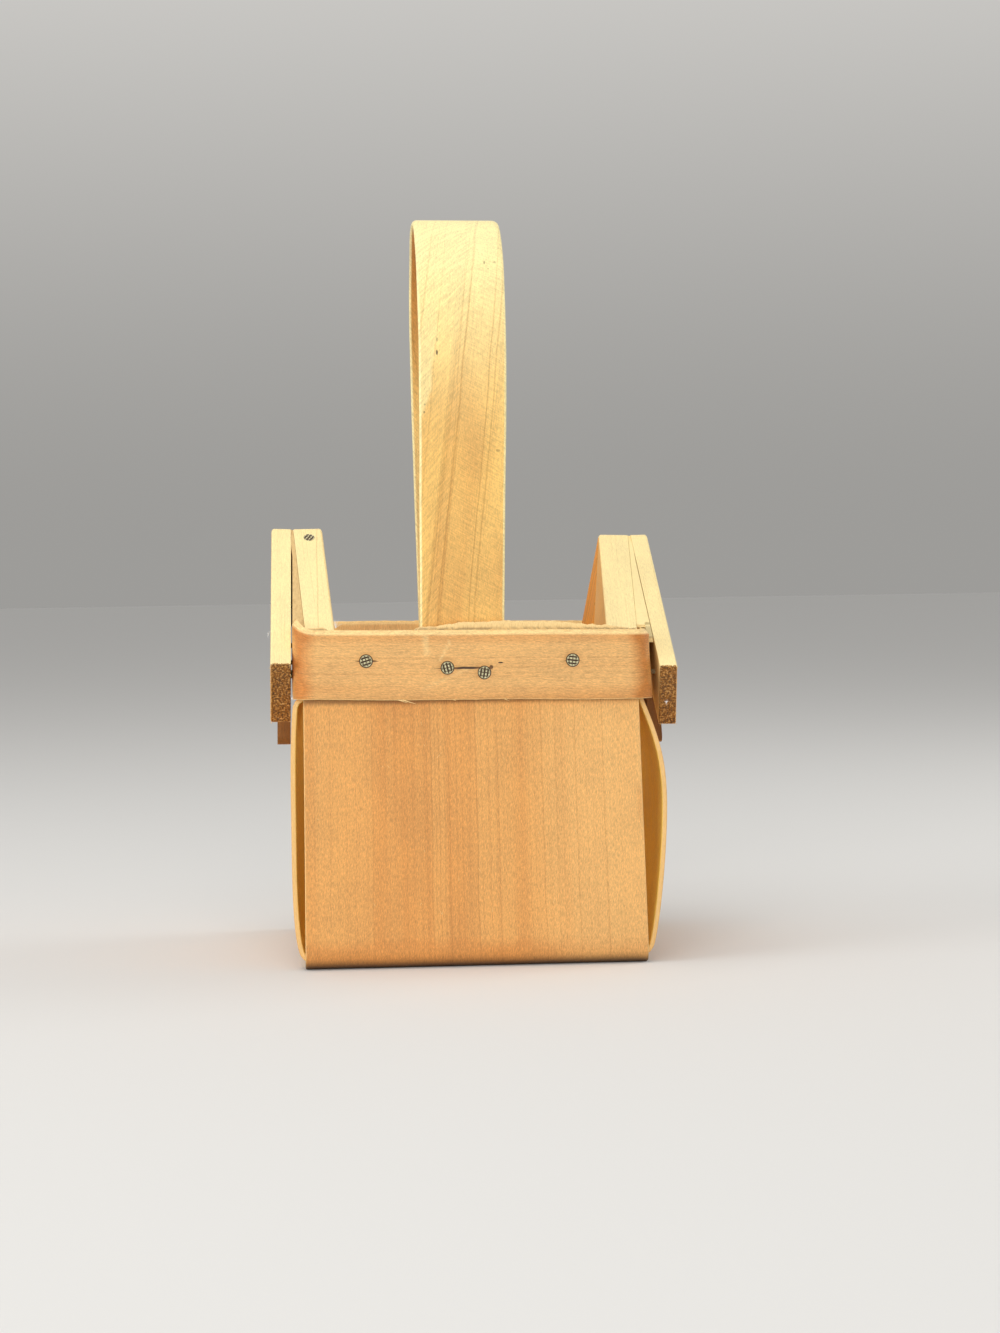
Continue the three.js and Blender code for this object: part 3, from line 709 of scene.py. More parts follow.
def stripe(sh, coords, place, width, slope=0.0):
    """A soft line at a place across the grain, which wanders a little and may lean."""
    x, y, _ = sh.parts(coords)
    wander = sh.streaks(coords, 0.2, 25 * MM, 9)
    middle = sh.plus(x, sh.times(wander, 1.2 * MM))
    leaning = sh.plus(place + 0.6 * MM, sh.times(y, slope))
    return sh.range(sh.away(middle, leaning), width, width * 0.3)


def grey(sh, value):
    return sh.node("CombineColor", {0: value, 1: value, 2: value})


def steel():
    """Dull bare steel with dark dirt in its grooves."""
    c = settings().colours
    sh = Shader("nail_steel")
    coords = sh.node("TexCoord", {}, "Object")
    grime = sh.streaks(coords, 0.5 * MM, 0.5 * MM, 3, 3.0)
    groove = sh.attribute("groove")
    bare = sh.mix(sh.range(grime, 0.45, 0.7), c.steel, [v * 0.45 for v in c.steel])
    tone = sh.mix(groove, bare, c.crack)
    sh.surface.inputs["Metallic"].default_value = 0.35
    return sh.finish(tone, grime, sh.range(grime, 0.3, 0.7, 0.36, 0.55), 0.05 * MM)


def flat_finish(name, colour, roughness):
    """One even colour, for the floor and the loose fibres."""
    sh = Shader(name)
    sh.surface.inputs["Base Color"].default_value = opaque(colour)
    sh.surface.inputs["Roughness"].default_value = roughness
    return sh.material


# The veneer strips

# How high the front wall's torn top stands, from its left to its right, in shares of its width and its rise
TORN_SHARES = [
    (0, 0.15), (0.06, 0.3), (0.09, -0.35), (0.32, -0.3), (0.36, 0.35), (0.5, 0.85), (0.62, 1), (0.75, 0.9),
    (0.88, 0.5), (1, 0.1),
]
# Places across the front wall in mm, with how deep its tone is there
FRONT_BANDS = [
    (-57, 0.3), (-45, 0.35), (-34.3, 0.5), (-33.6, 0.72), (-24, 0.62), (-14.6, 0.78), (-13.9, 0.45),
    (-6, 0.55), (0.5, 0.6), (1.2, 0.28), (12, 0.3), (22.8, 0.35), (23.4, 0.2), (43.6, 0.25), (44.2, 0.05),
    (57, 0.0),
]
# Growth lines of the front wall: place across in mm, and strength
FRONT_RINGS = [
    (-48, 0.2), (-39.5, 0.15), (-33.9, 0.3), (-28.4, 0.15), (-22.6, 0.2), (-14.2, 0.42), (-12.9, 0.25),
    (-11.6, 0.35), (-9.9, 0.2), (-8.4, 0.3), (-5.9, 0.25), (0.9, 0.45), (2.6, 0.2), (5.2, 0.25),
    (8.2, 0.15), (18.5, 0.15), (20.3, 0.2), (23.1, 0.35), (27.6, 0.15), (34.4, 0.3), (37.8, 0.15),
    (43.8, 0.3), (49, 0.15),
]
# Most that the cut edge of a thin strip is eased
STRIP_EASE = 0.25 * MM


class BASKET_OT_front_back_strip(bpy.types.Operator):
    """Make the wide veneer strip that is the front wall, the bottom and the back wall"""
    bl_idname = "basket.front_back_strip"
    bl_label = "Front and back veneer"

    def execute(self, context):
        s = context.scene.basket
        w, hoop, c = s.walls, s.hoop, s.colours
        offset = body_offset()
        outer_y, _ = half_depths()
        radius = w.front_fold
        top = hoop.rim_height
        track = Track(joined(
            [(-outer_y, 1.2 * top), (-outer_y, radius)],
            arc((radius - outer_y, radius), radius, 2, 3),
            [(0, 0)],
            arc((outer_y - radius, radius), radius, 3, 4),
            [(outer_y, 1.2 * top)],
        ))
        track.zero = track.marks[-1] / 2
        fold_start = outer_y - radius
        fold_stop = fold_start + radius * math.pi / 2
        wall_top = fold_stop + top - radius
        clear = wall_top - 5 * MM
        half = w.front_base_width / 2

        def top_at(across, front):
            x = across / half * w.front_rim_width / 2 - hoop.rim_shift
            level = rim_to_body(x, 0)[1] - top
            if not front:
                return wall_top + level - w.back_drop + 0.25 * MM * rough(across, 3, 4 * MM)
            torn = w.torn_rise * table_at(TORN_SHARES, across / half / 2 + 0.5, smooth)
            jagged = 0.42 * MM * rough(across, 1, 2.2 * MM) + 0.36 * MM * rough(across, 2, 0.8 * MM)
            return wall_top + level + torn + jagged

        def reach(across, along):
            over = abs(along) - clear
            if over <= 0:
                return along
            end = top_at(across, along < 0)
            return math.copysign(clear + over * (end - clear) / (wall_top - clear), along)

        def place(across, along, depth):
            point, left = track.at(along)
            height = clamp(point.y / top)
            width = lerp(w.front_base_width, w.front_rim_width, height) / w.front_base_width
            sway = 0.12 * MM * rough(across, along, 60 * MM, 4) * smooth(abs(along), fold_stop, clear)
            yz = point + left * (depth + sway * (abs(along) < clear))
            x = lerp(w.front_base_x, 0, height) + across * width
            return offset + Vector((x, yz.x, yz.y))

        rows = steps(0, fold_start, 4 * MM)[:-1] + steps(fold_start, fold_stop, 0.9 * MM)[:-1]
        hem = wall_top - hoop.height
        rows += steps(fold_stop, hem - 3 * MM, 2.2 * MM)[:-1] + steps(hem - 3 * MM, hem + MM, 0.4 * MM)[:-1]
        rows += steps(hem + MM, clear, 2.2 * MM)[:-1] + steps(clear, wall_top, 0.5 * MM)
        rows = [-r for r in rows[:0:-1]] + rows
        bm = sheet(edged(half, 0.6 * MM), rows, place, w.front_thickness, STRIP_EASE, reach)
        bands = [(x * MM, share) for x, share in FRONT_BANDS]
        split_x, split_y = 55.5 * MM, -fold_stop - 0.45 * (top - radius)

        def deep_tone(g):
            """Redder in the front's bands, the inner face and round a split at the right; deeper in the
            folds as painted shade.
            """
            # Painted shade: the folds take the deep tone where they turn under.
            over_fold = smooth(abs(g.y), fold_stop + 4 * MM, fold_stop - MM)
            folds = over_fold - smooth(abs(g.y), fold_start, fold_start - MM)
            band = table_at(bands, g.x) if g.y < 0 else 0.1
            inside = (0.6 if g.y < 0 else 0.15) * smooth(g.z, 0.3 * MM, 1.4 * MM)
            round_split = ((g.x - split_x) / 0.9) ** 2 + ((g.y - split_y) / 6) ** 2
            return folds + band + inside + 0.9 * smooth(round_split, 1.4 * MM ** 2, 0.6 * MM ** 2)

        def painted_shade(g):
            """Painted shade: dark lines along the hoop's two edges, and darkening where the front and the
            back turn under.
            """
            over = -g.y - wall_top - rim_to_body(g.x, 0)[1] + top - 0.15 * MM
            under = smooth(-g.y, hem - 1.9 * MM, hem - 0.1 * MM)
            rim_shade = 0.55 * smooth(abs(over), 0.5 * MM, 0.1 * MM) + 0.5 * under * (-g.y < clear)
            fold_shade = smooth(abs(g.y), fold_stop - 1.4 * MM, fold_start + 2.6 * MM)
            fold_shade *= smooth(abs(g.y), fold_start - 6 * MM, fold_start - 3 * MM)
            return rim_shade * (g.z < 0.5 * MM) + 0.85 * fold_shade

        paint(bm, "deep", lambda v, g: deep_tone(g))
        # The front's right part is paler wood; the back wall's inner face is made paler too, as painted
        # light where it stands in shade.
        paint(bm, "pale", lambda v, g: (
            0.5 * smooth(g.x, 12 * MM, 40 * MM) * (1 - smooth(g.z, 0, 0.6 * MM))
            + (g.y > 0) * smooth(g.z, 0.3 * MM, 1.4 * MM)
        ))
        # Painted shade: the gap layer darkens the strip to the crack colour along the hoop's edges and in
        # the folds.
        paint(bm, "gap", lambda v, g: painted_shade(g))
        edge, grain = bm.verts.layers.float["edge"], bm.verts.layers.float_vector["grain"]
        for v in bm.verts:
            _, along, depth = v[grain]
            low = wall_top - 2 * MM if along < 0 else wall_top - 1.9 * MM
            v[edge] = max(v[edge], smooth(abs(along), low, low + 1.2 * MM))
            # Painted light: the top of the back wall's inner face takes part of the pale cut-edge colour.
            if along > 0 and depth > w.front_thickness / 2:
                v[edge] = max(v[edge], 0.6 * smooth(along, wall_top - 9 * MM, wall_top - 4 * MM))
        rings = [(x * MM, 0.28 * MM, share) for x, share in FRONT_RINGS]
        material = wood(
            "front_veneer", 1, c.wall, c.wall_deep, c.wall_line, lerp_colour(c.wall, c.cut, 0.35), c.cut,
            lines=0.3, flecks=0.35, nap=0.15, rings=rings,
        )
        finish(bm, "veneer_front_back", material, ["front_back_strip"])
        return {"FINISHED"}


def side_track(side, bulge, leans, handles, kick=(0, 0)):
    """The middle line of one side wall, from the middle of the bottom to the peak, in X and Z.

    The leans are those under the hoop and over the fold, and the handles say how far each one carries.
    The kick is how far out the wall springs right under the hoop, and in what drop.
    """
    s = settings()
    w, hoop, slats = s.walls, s.hoop, s.slats
    sign, half = side.sign, w.side_thickness / 2
    middle = side.veneer_x - half
    bottom_z = w.front_thickness + w.fit + half
    fullest = Vector((sign * (middle + bulge), (hoop.rim_height - slats.post_drop) * side.bulge_share))
    fold_x = w.front_base_width / 2 + w.side_fold_outset + sign * w.front_base_x
    fold_top = Vector((
        sign * (fold_x + w.side_fold_rise * math.tan(w.side_fold_lean)),
        bottom_z + w.side_fold_rise,
    ))
    under_hoop = Vector(rim_to_body(sign * middle, -hoop.height))
    sprung = under_hoop + Vector((sign * kick[0], -kick[1]))
    above, below = under_hoop.y - fullest.y, fullest.y - fold_top.y
    rim_run, fold_run = above * handles[0], below * handles[1]
    tall = side.peak + 6 * MM
    corner = Vector((sign * fold_x, bottom_z))
    bottom = Vector((sign * (fold_x - w.side_fold_run), bottom_z))
    third = 2 / 3
    return Track(joined(
        [(0, bottom_z), bottom],
        interpolate_bezier(bottom, bottom.lerp(corner, third), fold_top.lerp(corner, third), fold_top, 10),
        interpolate_bezier(
            fold_top,
            fold_top + Vector((sign * fold_run * math.tan(leans[1]), fold_run)),
            fullest - Vector((0, below * 0.3)),
            fullest, 16,
        ),
        interpolate_bezier(
            fullest,
            fullest + Vector((0, above * 0.4)),
            sprung + Vector((sign * rim_run * math.tan(leans[0]), -rim_run)),
            sprung, 16,
        ),
        [
            under_hoop,
            rim_to_body(sign * middle, 0),
            rim_to_body(sign * (middle + tall * math.tan(side.gable_lean)), tall),
        ],
    ))


class BASKET_OT_side_strip(bpy.types.Operator):
    """Make the veneer strip that is the bottom's upper layer and the two side walls with their gables"""
    bl_idname = "basket.side_strip"
    bl_label = "Side veneer"

    def execute(self, context):
        s = context.scene.basket
        w, hoop, c = s.walls, s.hoop, s.colours
        offset = body_offset()
        _, half = half_depths()
        tracks = {}
        for name, sign in SIDES.items():
            side = Side(name)
            fold_lean = w.side_fold_lean
            edge = side_track(side, side.bulge, (side.bulge_lean, fold_lean), (0.4, 0.2))
            middle = edge
            if name == "left":
                kick = (s.bulges.kick, 0.6 * s.bulges.kick)
                edge = side_track(side, side.bulge, (s.bulges.edge_lean, fold_lean), (0.2, 0.2), kick)
                middle = side_track(side, s.bulges.left_middle, (0, s.bulges.left_tuck), (0.4, 0.5))
            rim, under = middle.mark(-2), middle.mark(-3)
            edge_shift = edge.mark(-2) - rim
            recess = side.recess / math.cos(side.slope)
            peak = rim + (side.peak - recess) / math.cos(side.gable_lean)
            tracks[sign] = (side, middle, edge, under, peak, edge_shift)

        def reach(across, along):
            side, _, _, under, peak, _ = tracks[1 if along > 0 else -1]
            over = abs(along) - under
            if over <= 0:
                return along
            ragged = 0.22 * rough(across, 5, 1.3 * MM) + 0.15 * rough(across, 6, 0.5 * MM) - 0.15
            end = peak - abs(across) * math.tan(side.slope) + ragged * MM * (1 if side.sign < 0 else 0.3)
            return math.copysign(under + over * (end - under) / (peak - under), along)

        def place(across, along, depth):
            side, middle, edge, under, _, edge_shift = tracks[1 if along > 0 else -1]
            share = smooth(-across, 20 * MM, half)
            run = abs(along)
            point, left = middle.at(run)
            if share > 0:
                at_edge, left_edge = edge.at(run + edge_shift * smooth(run, 30 * MM, under))
                point, left = point.lerp(at_edge, share), left.lerp(left_edge, share).normalized()
            inner = left * side.sign
            pinch = 1 - 0.4 * smooth(run, under + hoop.height, under + hoop.height + side.peak / 2)
            xz = point + inner * (depth - w.side_thickness / 2) * pinch
            y = clamp(across, -half, half)
            return offset + Vector((xz.x, y, xz.y))

        rows = []
        for sign, (_, _, _, under, peak, _) in tracks.items():
            run = steps(0, 46 * MM, 4 * MM)[:-1] + steps(46 * MM, 64 * MM, 0.9 * MM)[:-1]
            run += steps(64 * MM, under, 1.8 * MM)[:-1] + steps(under, peak - 2 * MM, 1.3 * MM)[:-1]
            run += steps(peak - 2 * MM, peak, 0.5 * MM)
            rows += [-r for r in run[:0:-1]] if sign < 0 else run
        bm = sheet(edged(half, 0.9 * MM), rows, place, w.side_thickness, STRIP_EASE, reach)
        paint(bm, "deep", lambda v, g: 0.25)
        # Painted light: the side walls' inner faces take the bright inside colour, which stands for light
        # that shines through the thin veneer onto them.
        paint(bm, "pale", lambda v, g: 0.9 * smooth(g.z, 0.2 * MM, 1.2 * MM))
        material = wood("side_veneer", 11, c.wall, c.wall_deep, c.wall_line, c.inner,
                        lerp_colour(c.wall, c.cut, 0.5), lines=0.35, flecks=0.4)
        finish(bm, "veneer_sides", material, ["side_strip"])
        return {"FINISHED"}


# The hoop

def nail_heads(*starts):
    """The middle and the outward direction of each nail's head, found from the nail's own vertices."""
    heads = {}
    for name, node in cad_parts.items():
        if not name.startswith(starts):
            continue
        out = outward(name)
        reaches = [v.co.dot(out) for v in node.data.vertices]
        top = max(reaches)
        crown = [v.co for v, r in zip(node.data.vertices, reaches) if r > top - 0.38 * MM]
        middle = sum(crown, Vector()) / len(crown)
        heads[name] = (middle + out * (top - middle.dot(out)), out)
    return heads


def outward(name):
    """The way a nail's head faces, by the name of its node."""
    tilt = Matrix.Rotation(settings().hoop.rim_tilt, 3, "Y")
    if name.startswith(("band_nail", "handle_nail")):
        return Vector((0, -1 if "front" in name else 1, 0))
    side = Side("left" if "left" in name else "right")
    if name.startswith("peak_nail"):
        end = -1 if side.sign < 0 else 1
        return tilt @ Vector((0, end * math.sin(side.slope), math.cos(side.slope)))
    return tilt @ Vector((side.sign, 0, 0))


class BASKET_OT_rim_hoop(bpy.types.Operator):
    """Make the thin hoop round the rim, with its rough top edge and the dents of its nails"""
    bl_idname = "basket.rim_hoop"
    bl_label = "Rim hoop"

    def execute(self, context):
        s = context.scene.basket
        hoop, w, c = s.hoop, s.walls, s.colours
        t, r = hoop.thickness, hoop.corner
        x, y = hoop.width / 2, hoop.depth / 2
        outer = t + w.fit
        start, stop = hoop.lap_centre + hoop.lap / 2, hoop.lap_centre - hoop.lap / 2
        climb = start + w.fit
        half_climb = Vector((hoop.lap_climb / 2, 0))
        high, low = Vector((climb, y + outer)), Vector((climb + hoop.lap_climb, y))
        line = joined(
            [(start, y), (r - x, y)],
            arc((r - x, y - r), r, 1, 2),
            arc((r - x, r - y), r, 2, 3),
            arc((x - r, r - y), r, 3, 4),
            arc((x - r, y - r), r, 0, 1),
            [low],
            interpolate_bezier(low, low - half_climb, high + half_climb, high, 8),
            [(stop, y + outer)],
        )
        track = Track(line)
        total = track.marks[-1]
        rim = rim_frame()
        front_start = next(m for p, m in zip(track.points, track.marks) if p.y < -y + MM / 100)

        def wave(across, along):
            top = 0.3 * MM * rough(along, 0, 40 * MM, 1) + 0.12 * MM * rough(along, 0, 3 * MM, 2)
            ramp = clamp((front_start + 1.5 * MM - along) / (9 * MM))
            top += hoop.curl * ramp ** 1.6 * smooth(along, front_start - 55 * MM, front_start - 22 * MM)
            low_edge = 0.3 * MM * rough(along, 0, 30 * MM, 3) + 0.08 * MM * rough(along, 0, 4 * MM, 4)
            return lerp(top, low_edge, clamp(-across / hoop.height))

        def place(across, along, depth):
            point, left = track.at(along)
            drop = -across
            worn = hoop.bevel * (1 + 0.35 * rough(along, 0, 5 * MM, 5))
            bevel = clamp(1 - drop / worn) * (t * 0.72 + 0.25 * MM * rough(along, drop * 3, 0.8 * MM, 6))
            depth = max(depth, bevel) if depth < t / 2 else depth
            xy = point + left * depth
            z = across + wave(across, along)
            right = smooth(point.x, x - 12 * MM, x) * smooth(-point.y, -10 * MM, y)
            xy.x += hoop.flare * right * smooth(drop, 3 * MM, hoop.height)
            return rim @ Vector((xy.x, xy.y, z))

        top_columns = [-drop * MM for drop in (0, 0.35, 0.75, 1.15, 1.5, 1.9)]
        columns = [-drop for drop in steps(2.7 * MM, hoop.height - 0.3 * MM, 0.85 * MM)]
        rows = [0, *steps(0.3 * MM, total - 0.3 * MM, 0.8 * MM), total]
        bm = sheet([*top_columns, *columns, -hoop.height], rows, place, t, 0.2 * MM)
        heads = nail_heads("band_nail", "handle_nail")
        for centre, out in heads.values():
            dent(bm, centre, -out)
        front_middle = front_start + x - r
        corners = [front_start - 4 * MM, front_start + 2 * (x - r) + 4 * MM]
        grain = bm.verts.layers.float_vector["grain"]
        # Painted shade: the corners take the hoop's deep colour, where the strip turns away from the light;
        # the inner face and the strip's top are a little deeper in tone too.
        paint(bm, "deep", lambda v, g: (
            0.9 * max(1 - abs(g.y - corner) / (5 * MM) for corner in corners)
            + 0.6 * smooth(g.z, 0.5 * MM, 1.5 * MM) + 0.08 + 0.16 * smooth(-g.x, 12 * MM, 3 * MM)
        ))
        paint(bm, "pale", lambda v, g: max(
            0.95 * smooth(-g.x, hoop.bevel * 1.25, hoop.bevel * 0.8),
            *(strength * scuff(g, front_middle, *streak) for strength, *streak in SCUFFS),
        ))
        holes, front_holes = [], []
        for name, (centre, out) in heads.items():
            near = min((v for v in bm.verts if v[grain].z < MM), key=lambda v: (v.co - centre).length)
            shift = rim.to_3x3().inverted() @ (centre - near.co)
            turn = 1 if "front" in name else -1
            holes.append((near[grain].x + shift.z, near[grain].y + turn * shift.x, s.nails.head + 0.28 * MM))
            if turn > 0:
                front_holes.append(holes[-1])
        material = wood("hoop_veneer", 21, c.hoop, c.hoop_deep, c.hoop_line, c.cut, c.cut, lines=0.4,
                        flecks=0.35, nap=0.14, cracks=hoop_cracks(front_holes), holes=holes)
        finish(bm, "rim_hoop", material, ["rim_band"])
        return {"FINISHED"}


# Worn streaks on the hoop's front: strength, two ends in mm right and up from the middle of its top, width
SCUFFS = [
    (0.5, (-15.4, -1.8), (-15.0, -7.4), 1.5),
    (0.6, (-7.3, -3.6), (-10.6, -9.8), 0.55),
    (0.3, (-2, -13), (-16, -19), 0.6),
]


def scuff(grain, middle, start, stop, width):
    """How strongly a worn streak covers a place."""
    place = Vector(((grain.y - middle) / MM, grain.x / MM))
    start, stop = Vector(start), Vector(stop)
    way = stop - start
    share = clamp((place - start).dot(way) / way.length_squared)
    away = (place - start - way * share).length
    return smooth(away + 0.3 * width * rough(place.x, place.y, 0.8, 3), width, width * 0.2)


def hoop_cracks(holes):
    """Splits that run from the front nails: place across, start, stop and width."""
    first, second, third, fourth = sorted(holes, key=lambda hole: hole[1])
    between_two = (second[0] + third[0]) / 2 + 0.7 * MM
    return [
        (first[0], first[1] - 3.7 * MM, first[1] + 4.2 * MM, 0.46 * MM),
        (between_two, second[1] - 4.3 * MM, third[1] + 2 * MM, 0.48 * MM),
        (third[0] + 1.7 * MM, third[1] + 1.5 * MM, third[1] + 2.9 * MM, 0.9 * MM),
        (third[0] + 3.2 * MM, third[1] + 4.4 * MM, third[1] + 6.2 * MM, 0.3 * MM),
        (fourth[0] - 0.2 * MM, fourth[1] - 3 * MM, fourth[1] + 3 * MM, 0.24 * MM),
    ]


# The handle

# Lean of the handle's grain, and of the fine scratches on either part of it
HANDLE_GRAIN = math.radians(-6.1)
SCRATCH_LEANS = math.radians(-42), math.radians(62)
# Growth lines on the handle's outer face: place across at the top of the arch in mm, lean, width, strength
HANDLE_LINES = [
    (8.7, 0.106, 0.42, 0.5), (16, 0.085, 0.32, 0.45), (18.25, 0.087, 0.38, 0.38), (-5.43, 0.124, 0.4, 0.38),
    (4.97, 0.077, 0.3, 0.25), (7.26, 0.118, 0.35, 0.22), (-1.5, 0.1, 0.3, 0.22),
]
# Dark specks there, in mm: place across and along, half a width and a length, strength
HANDLE_SPECKS = [
    (-8.5, -71.8, 0.22, 0.8, 0.6), (-8.6, -76.2, 0.34, 0.95, 0.9), (8.1, -41.4, 0.28, 0.9, 0.6),
    (11.5, -41.1, 0.6, 0.3, 0.5), (9.3, -44.2, 0.2, 0.4, 0.5), (-13, -96, 0.35, 0.45, 0.5),
    (-12.8, -93.5, 0.3, 0.3, 0.4), (11.9, -108.5, 0.8, 0.5, 0.35),
]
# Where the paler patch beside the handle's left edge ends, in mm along and across
PALE_PATCH = [(-101, -16), (-100, -14.2), (-94, -11.8), (-88, -9.6), (-81, -9.4), (-71.5, -7.6), (-60, -6.5)]


class BASKET_OT_handle(bpy.types.Operator):
    """Make the bentwood handle, an arch whose two legs lie inside the walls"""
    bl_idname = "basket.handle"
    bl_label = "Handle"

    def execute(self, context):
        s = context.scene.basket
        h, c = s.handle, s.colours
        rim = rim_frame()
        _, y = half_depths()
        turns = [math.pi * i / 40 for i in range(41)]
        arch = [Vector((-y * math.cos(t), h.spring + (h.rise - h.spring) * math.sin(t))) for t in turns]
        track = Track(joined([(-y, -h.leg_drop)], arch, [(y, -h.leg_drop)]))
        track.zero = track.marks[-1] / 2

        def place(across, along, depth):
            point, left = track.at(along)
            z = point.y
            rim_x = h.front_x if along < 0 else h.back_x
            middle = h.top_x + (rim_x - h.top_x) * (h.rise - z) / h.rise
            width = lerp(h.rim_width, h.top_width, z / h.rise) / h.top_width
            apex = smooth(abs(along), 60 * MM, 20 * MM)
            run = lerp(h.ease, h.worn if across > 0 else 0.65 * h.worn, apex)
            over = clamp((abs(across) - h.top_width / 2 + run) / run)
            eased = 1 - math.sqrt(1 - over * over)
            depth = clamp(depth, eased * lerp(h.ease, 0.6 * h.worn, apex), h.thickness - eased * h.ease)
            wander = 0.15 * MM * rough(along, 0, 30 * MM, 1) + 0.1 * MM * rough(across, along, 25 * MM, 2)
            yz = point - left * depth
            return rim @ Vector((middle + across * width + wander, yz.x, yz.y))

        half = h.top_width / 2
        edge_columns = [half - v * MM for v in (0, 0.12, 0.3, 0.55, 0.9, 1.4, 2)]
        inner = steps(half - 2.7 * MM, 2.7 * MM - half, 1.1 * MM)
        columns = [-v for v in edge_columns] + inner[::-1] + edge_columns[::-1]
        rows = steps(-track.zero, track.zero, 1.4 * MM)
        bm = sheet(columns, rows, place, h.thickness, 0.1 * MM)
        rim_z = (rim @ Vector()).z
        patch = [(along * MM, across * MM) for along, across in PALE_PATCH]

        # Painted light: the outer faces pale towards the top of the arch, which faces the lamp overhead, and
        # the lower inner faces pale where they are lit; the patch by the left edge is paler too.
        def paleness(v, g):
            inside = smooth(g.z, 0.4 * MM, 1.6 * MM)
            high = smooth(v.co.z, rim_z + 0.36 * h.rise, rim_z + 1.1 * h.rise)
            rubbed = 0.6 * smooth(table_at(patch, g.y) - g.x, 0, 1.2 * MM) * (g.y < 0) * (1 - inside)
            low = 0.45 * inside * smooth(v.co.z, rim_z + 0.75 * h.rise, rim_z + 0.2 * h.rise)
            return max(high * (1 - inside), rubbed, low)

        # Painted shade: the inner face darkens towards the top of the arch, where it faces down; the front
        # leg has redder patches.
        def depth_of_tone(v, g):
            inside = smooth(g.z, 0.4 * MM, 1.6 * MM)
            high = smooth(v.co.z, rim_z + 0.45 * h.rise, rim_z + 0.95 * h.rise)
            patches = 0.1 + 0.45 * rough(g.x, 0.25 * g.y, 9 * MM, 12)
            warm = patches * smooth(-g.y, 60 * MM, 90 * MM) + 0.25 * smooth(-g.y, 120 * MM, 160 * MM)
            return 0.85 * high if inside > 0.5 else 0.55 * clamp(warm)

        paint(bm, "deep", depth_of_tone)
        paint(bm, "pale", paleness)
        # The pale colour is painted light on the top of the arch and painted highlight along both long
        # edges.
        material = wood(
            "bentwood", 31, c.handle, c.handle_deep, c.handle_line, c.handle_pale, c.handle_pale,
            grain_turn=HANDLE_GRAIN, hatch=SCRATCH_LEANS, lines=0.4, banding=0.3,
            rings=[(x * MM, wide * MM, share, lean) for x, lean, wide, share in HANDLE_LINES], rim_highlight=half,
            specks=[(*(v * MM for v in place_and_size), share) for *place_and_size, share in HANDLE_SPECKS],
        )
        finish(bm, "bentwood_handle", material, ["handle"])
        return {"FINISHED"}


# The slats and posts

# How far the pale top edge of a slat runs down its face: planed paleness, and painted highlight where the
# edge faces the lamp overhead
PALE_EDGE = 0.7 * MM
# Growth lines of the back's inner slats, and the line where the left inner slats' two layers meet
BACK_SLAT_RINGS = [(across * MM, 0.5 * MM, 0.65) for across in (6.5, 11, 19)]
LEFT_SEAM = 8.1 * MM, -0.065
# How far the shims reach down, the clearance over them, and the step that closes their mitre
SHIM_DEPTH, SHIM_PLAY, SHIM_STEP = 30 * MM, 0.25 * MM, 0.1 * MM


def board(corners, thickness, ease, near=None, worn=None):
    """A board from the corners of its face, in Y and Z, with its edges rounded.

    The edges at the near place along X stay sharper, and the worn ones are rounded more.
    """
    bm = bmesh.new()
    face = bm.faces.new([bm.verts.new((0, y, z)) for y, z in corners])
    made = bmesh.ops.extrude_face_region(bm, geom=[face])["geom"]
    raised = [v for v in made if isinstance(v, bmesh.types.BMVert)]
    bmesh.ops.translate(bm, verts=raised, vec=(thickness, 0, 0))
    bmesh.ops.recalc_face_normals(bm, faces=bm.faces[:])

    def bevel(wanted, offset, segments):
        bmesh.ops.bevel(bm, geom=[e for e in bm.edges if wanted(e)], offset=offset, affect="EDGES",
                        segments=segments, profile=0.5, material=-1, clamp_overlap=True)

    if worn:
        bevel(lambda e: all(worn(v) for v in e.verts), 2.2 * MM, 5)
    if near is not None:
        bevel(lambda e: all(abs(v.co.x - near) < MM / 10 for v in e.verts), 0.15 * MM, 2)
    bevel(lambda e: e.calc_face_angle() > 1, ease, 3)
    return bm


def grained(bm, place):
    """Gives a board's vertices their places in the wood, from a function of the board's own frame."""
    grain = bm.verts.layers.float_vector.new("grain")
    bm.verts.layers.float.new("edge")
    for v in bm.verts:
        v[grain] = place(v.co)


def mounted(bm, side, outer, shift, place):
    """Moves a board to its side, and gives back the function that finds places in its wood there."""
    bmesh.ops.translate(bm, verts=bm.verts[:], vec=(shift, 0, 0))
    bmesh.ops.transform(bm, matrix=side.frame(outer), verts=bm.verts[:])
    local = (side.frame(outer) @ Matrix.Translation((shift, 0, 0))).inverted()
    return lambda point: place(local @ point)


def drill(piece, heads, grain_at):
    """Sinks a round recess into a board under each nail's head, and mends the grain round it."""
    head = settings().nails.head
    bm = bmesh.new()
    for centre, out in heads:
        turn = out.to_track_quat("Z", "Y").to_matrix().to_4x4()
        bmesh.ops.create_cone(
            bm, cap_ends=True, segments=32, radius1=head * 1.1, radius2=head * 1.1, depth=2 * MM,
            matrix=Matrix.Translation(centre - out * 0.1 * MM) @ turn,
        )
    cutter = meshed(bm, "recesses")
    cut = piece.modifiers.new("recesses", "BOOLEAN")
    cut.object = cutter
    cut.solver = "EXACT"
    bpy.context.view_layer.update()
    drilled = bpy.data.meshes.new_from_object(piece.evaluated_get(bpy.context.evaluated_depsgraph_get()))
    piece.modifiers.remove(cut)
    for v, grain in zip(drilled.vertices, drilled.attributes["grain"].data):
        if any((v.co - centre).length < 1.5 * head for centre, _ in heads):
            grain.vector = grain_at(v.co)
    piece.data = drilled
    bpy.data.objects.remove(cutter)


def flatten(piece):
    """Keeps a board's faces flat to the eye and only its rounded edges round."""
    weighted = piece.modifiers.new("flat_faces", "WEIGHTED_NORMAL")
    weighted.mode = "FACE_AREA"
    weighted.weight = 100
    weighted.keep_sharp = True


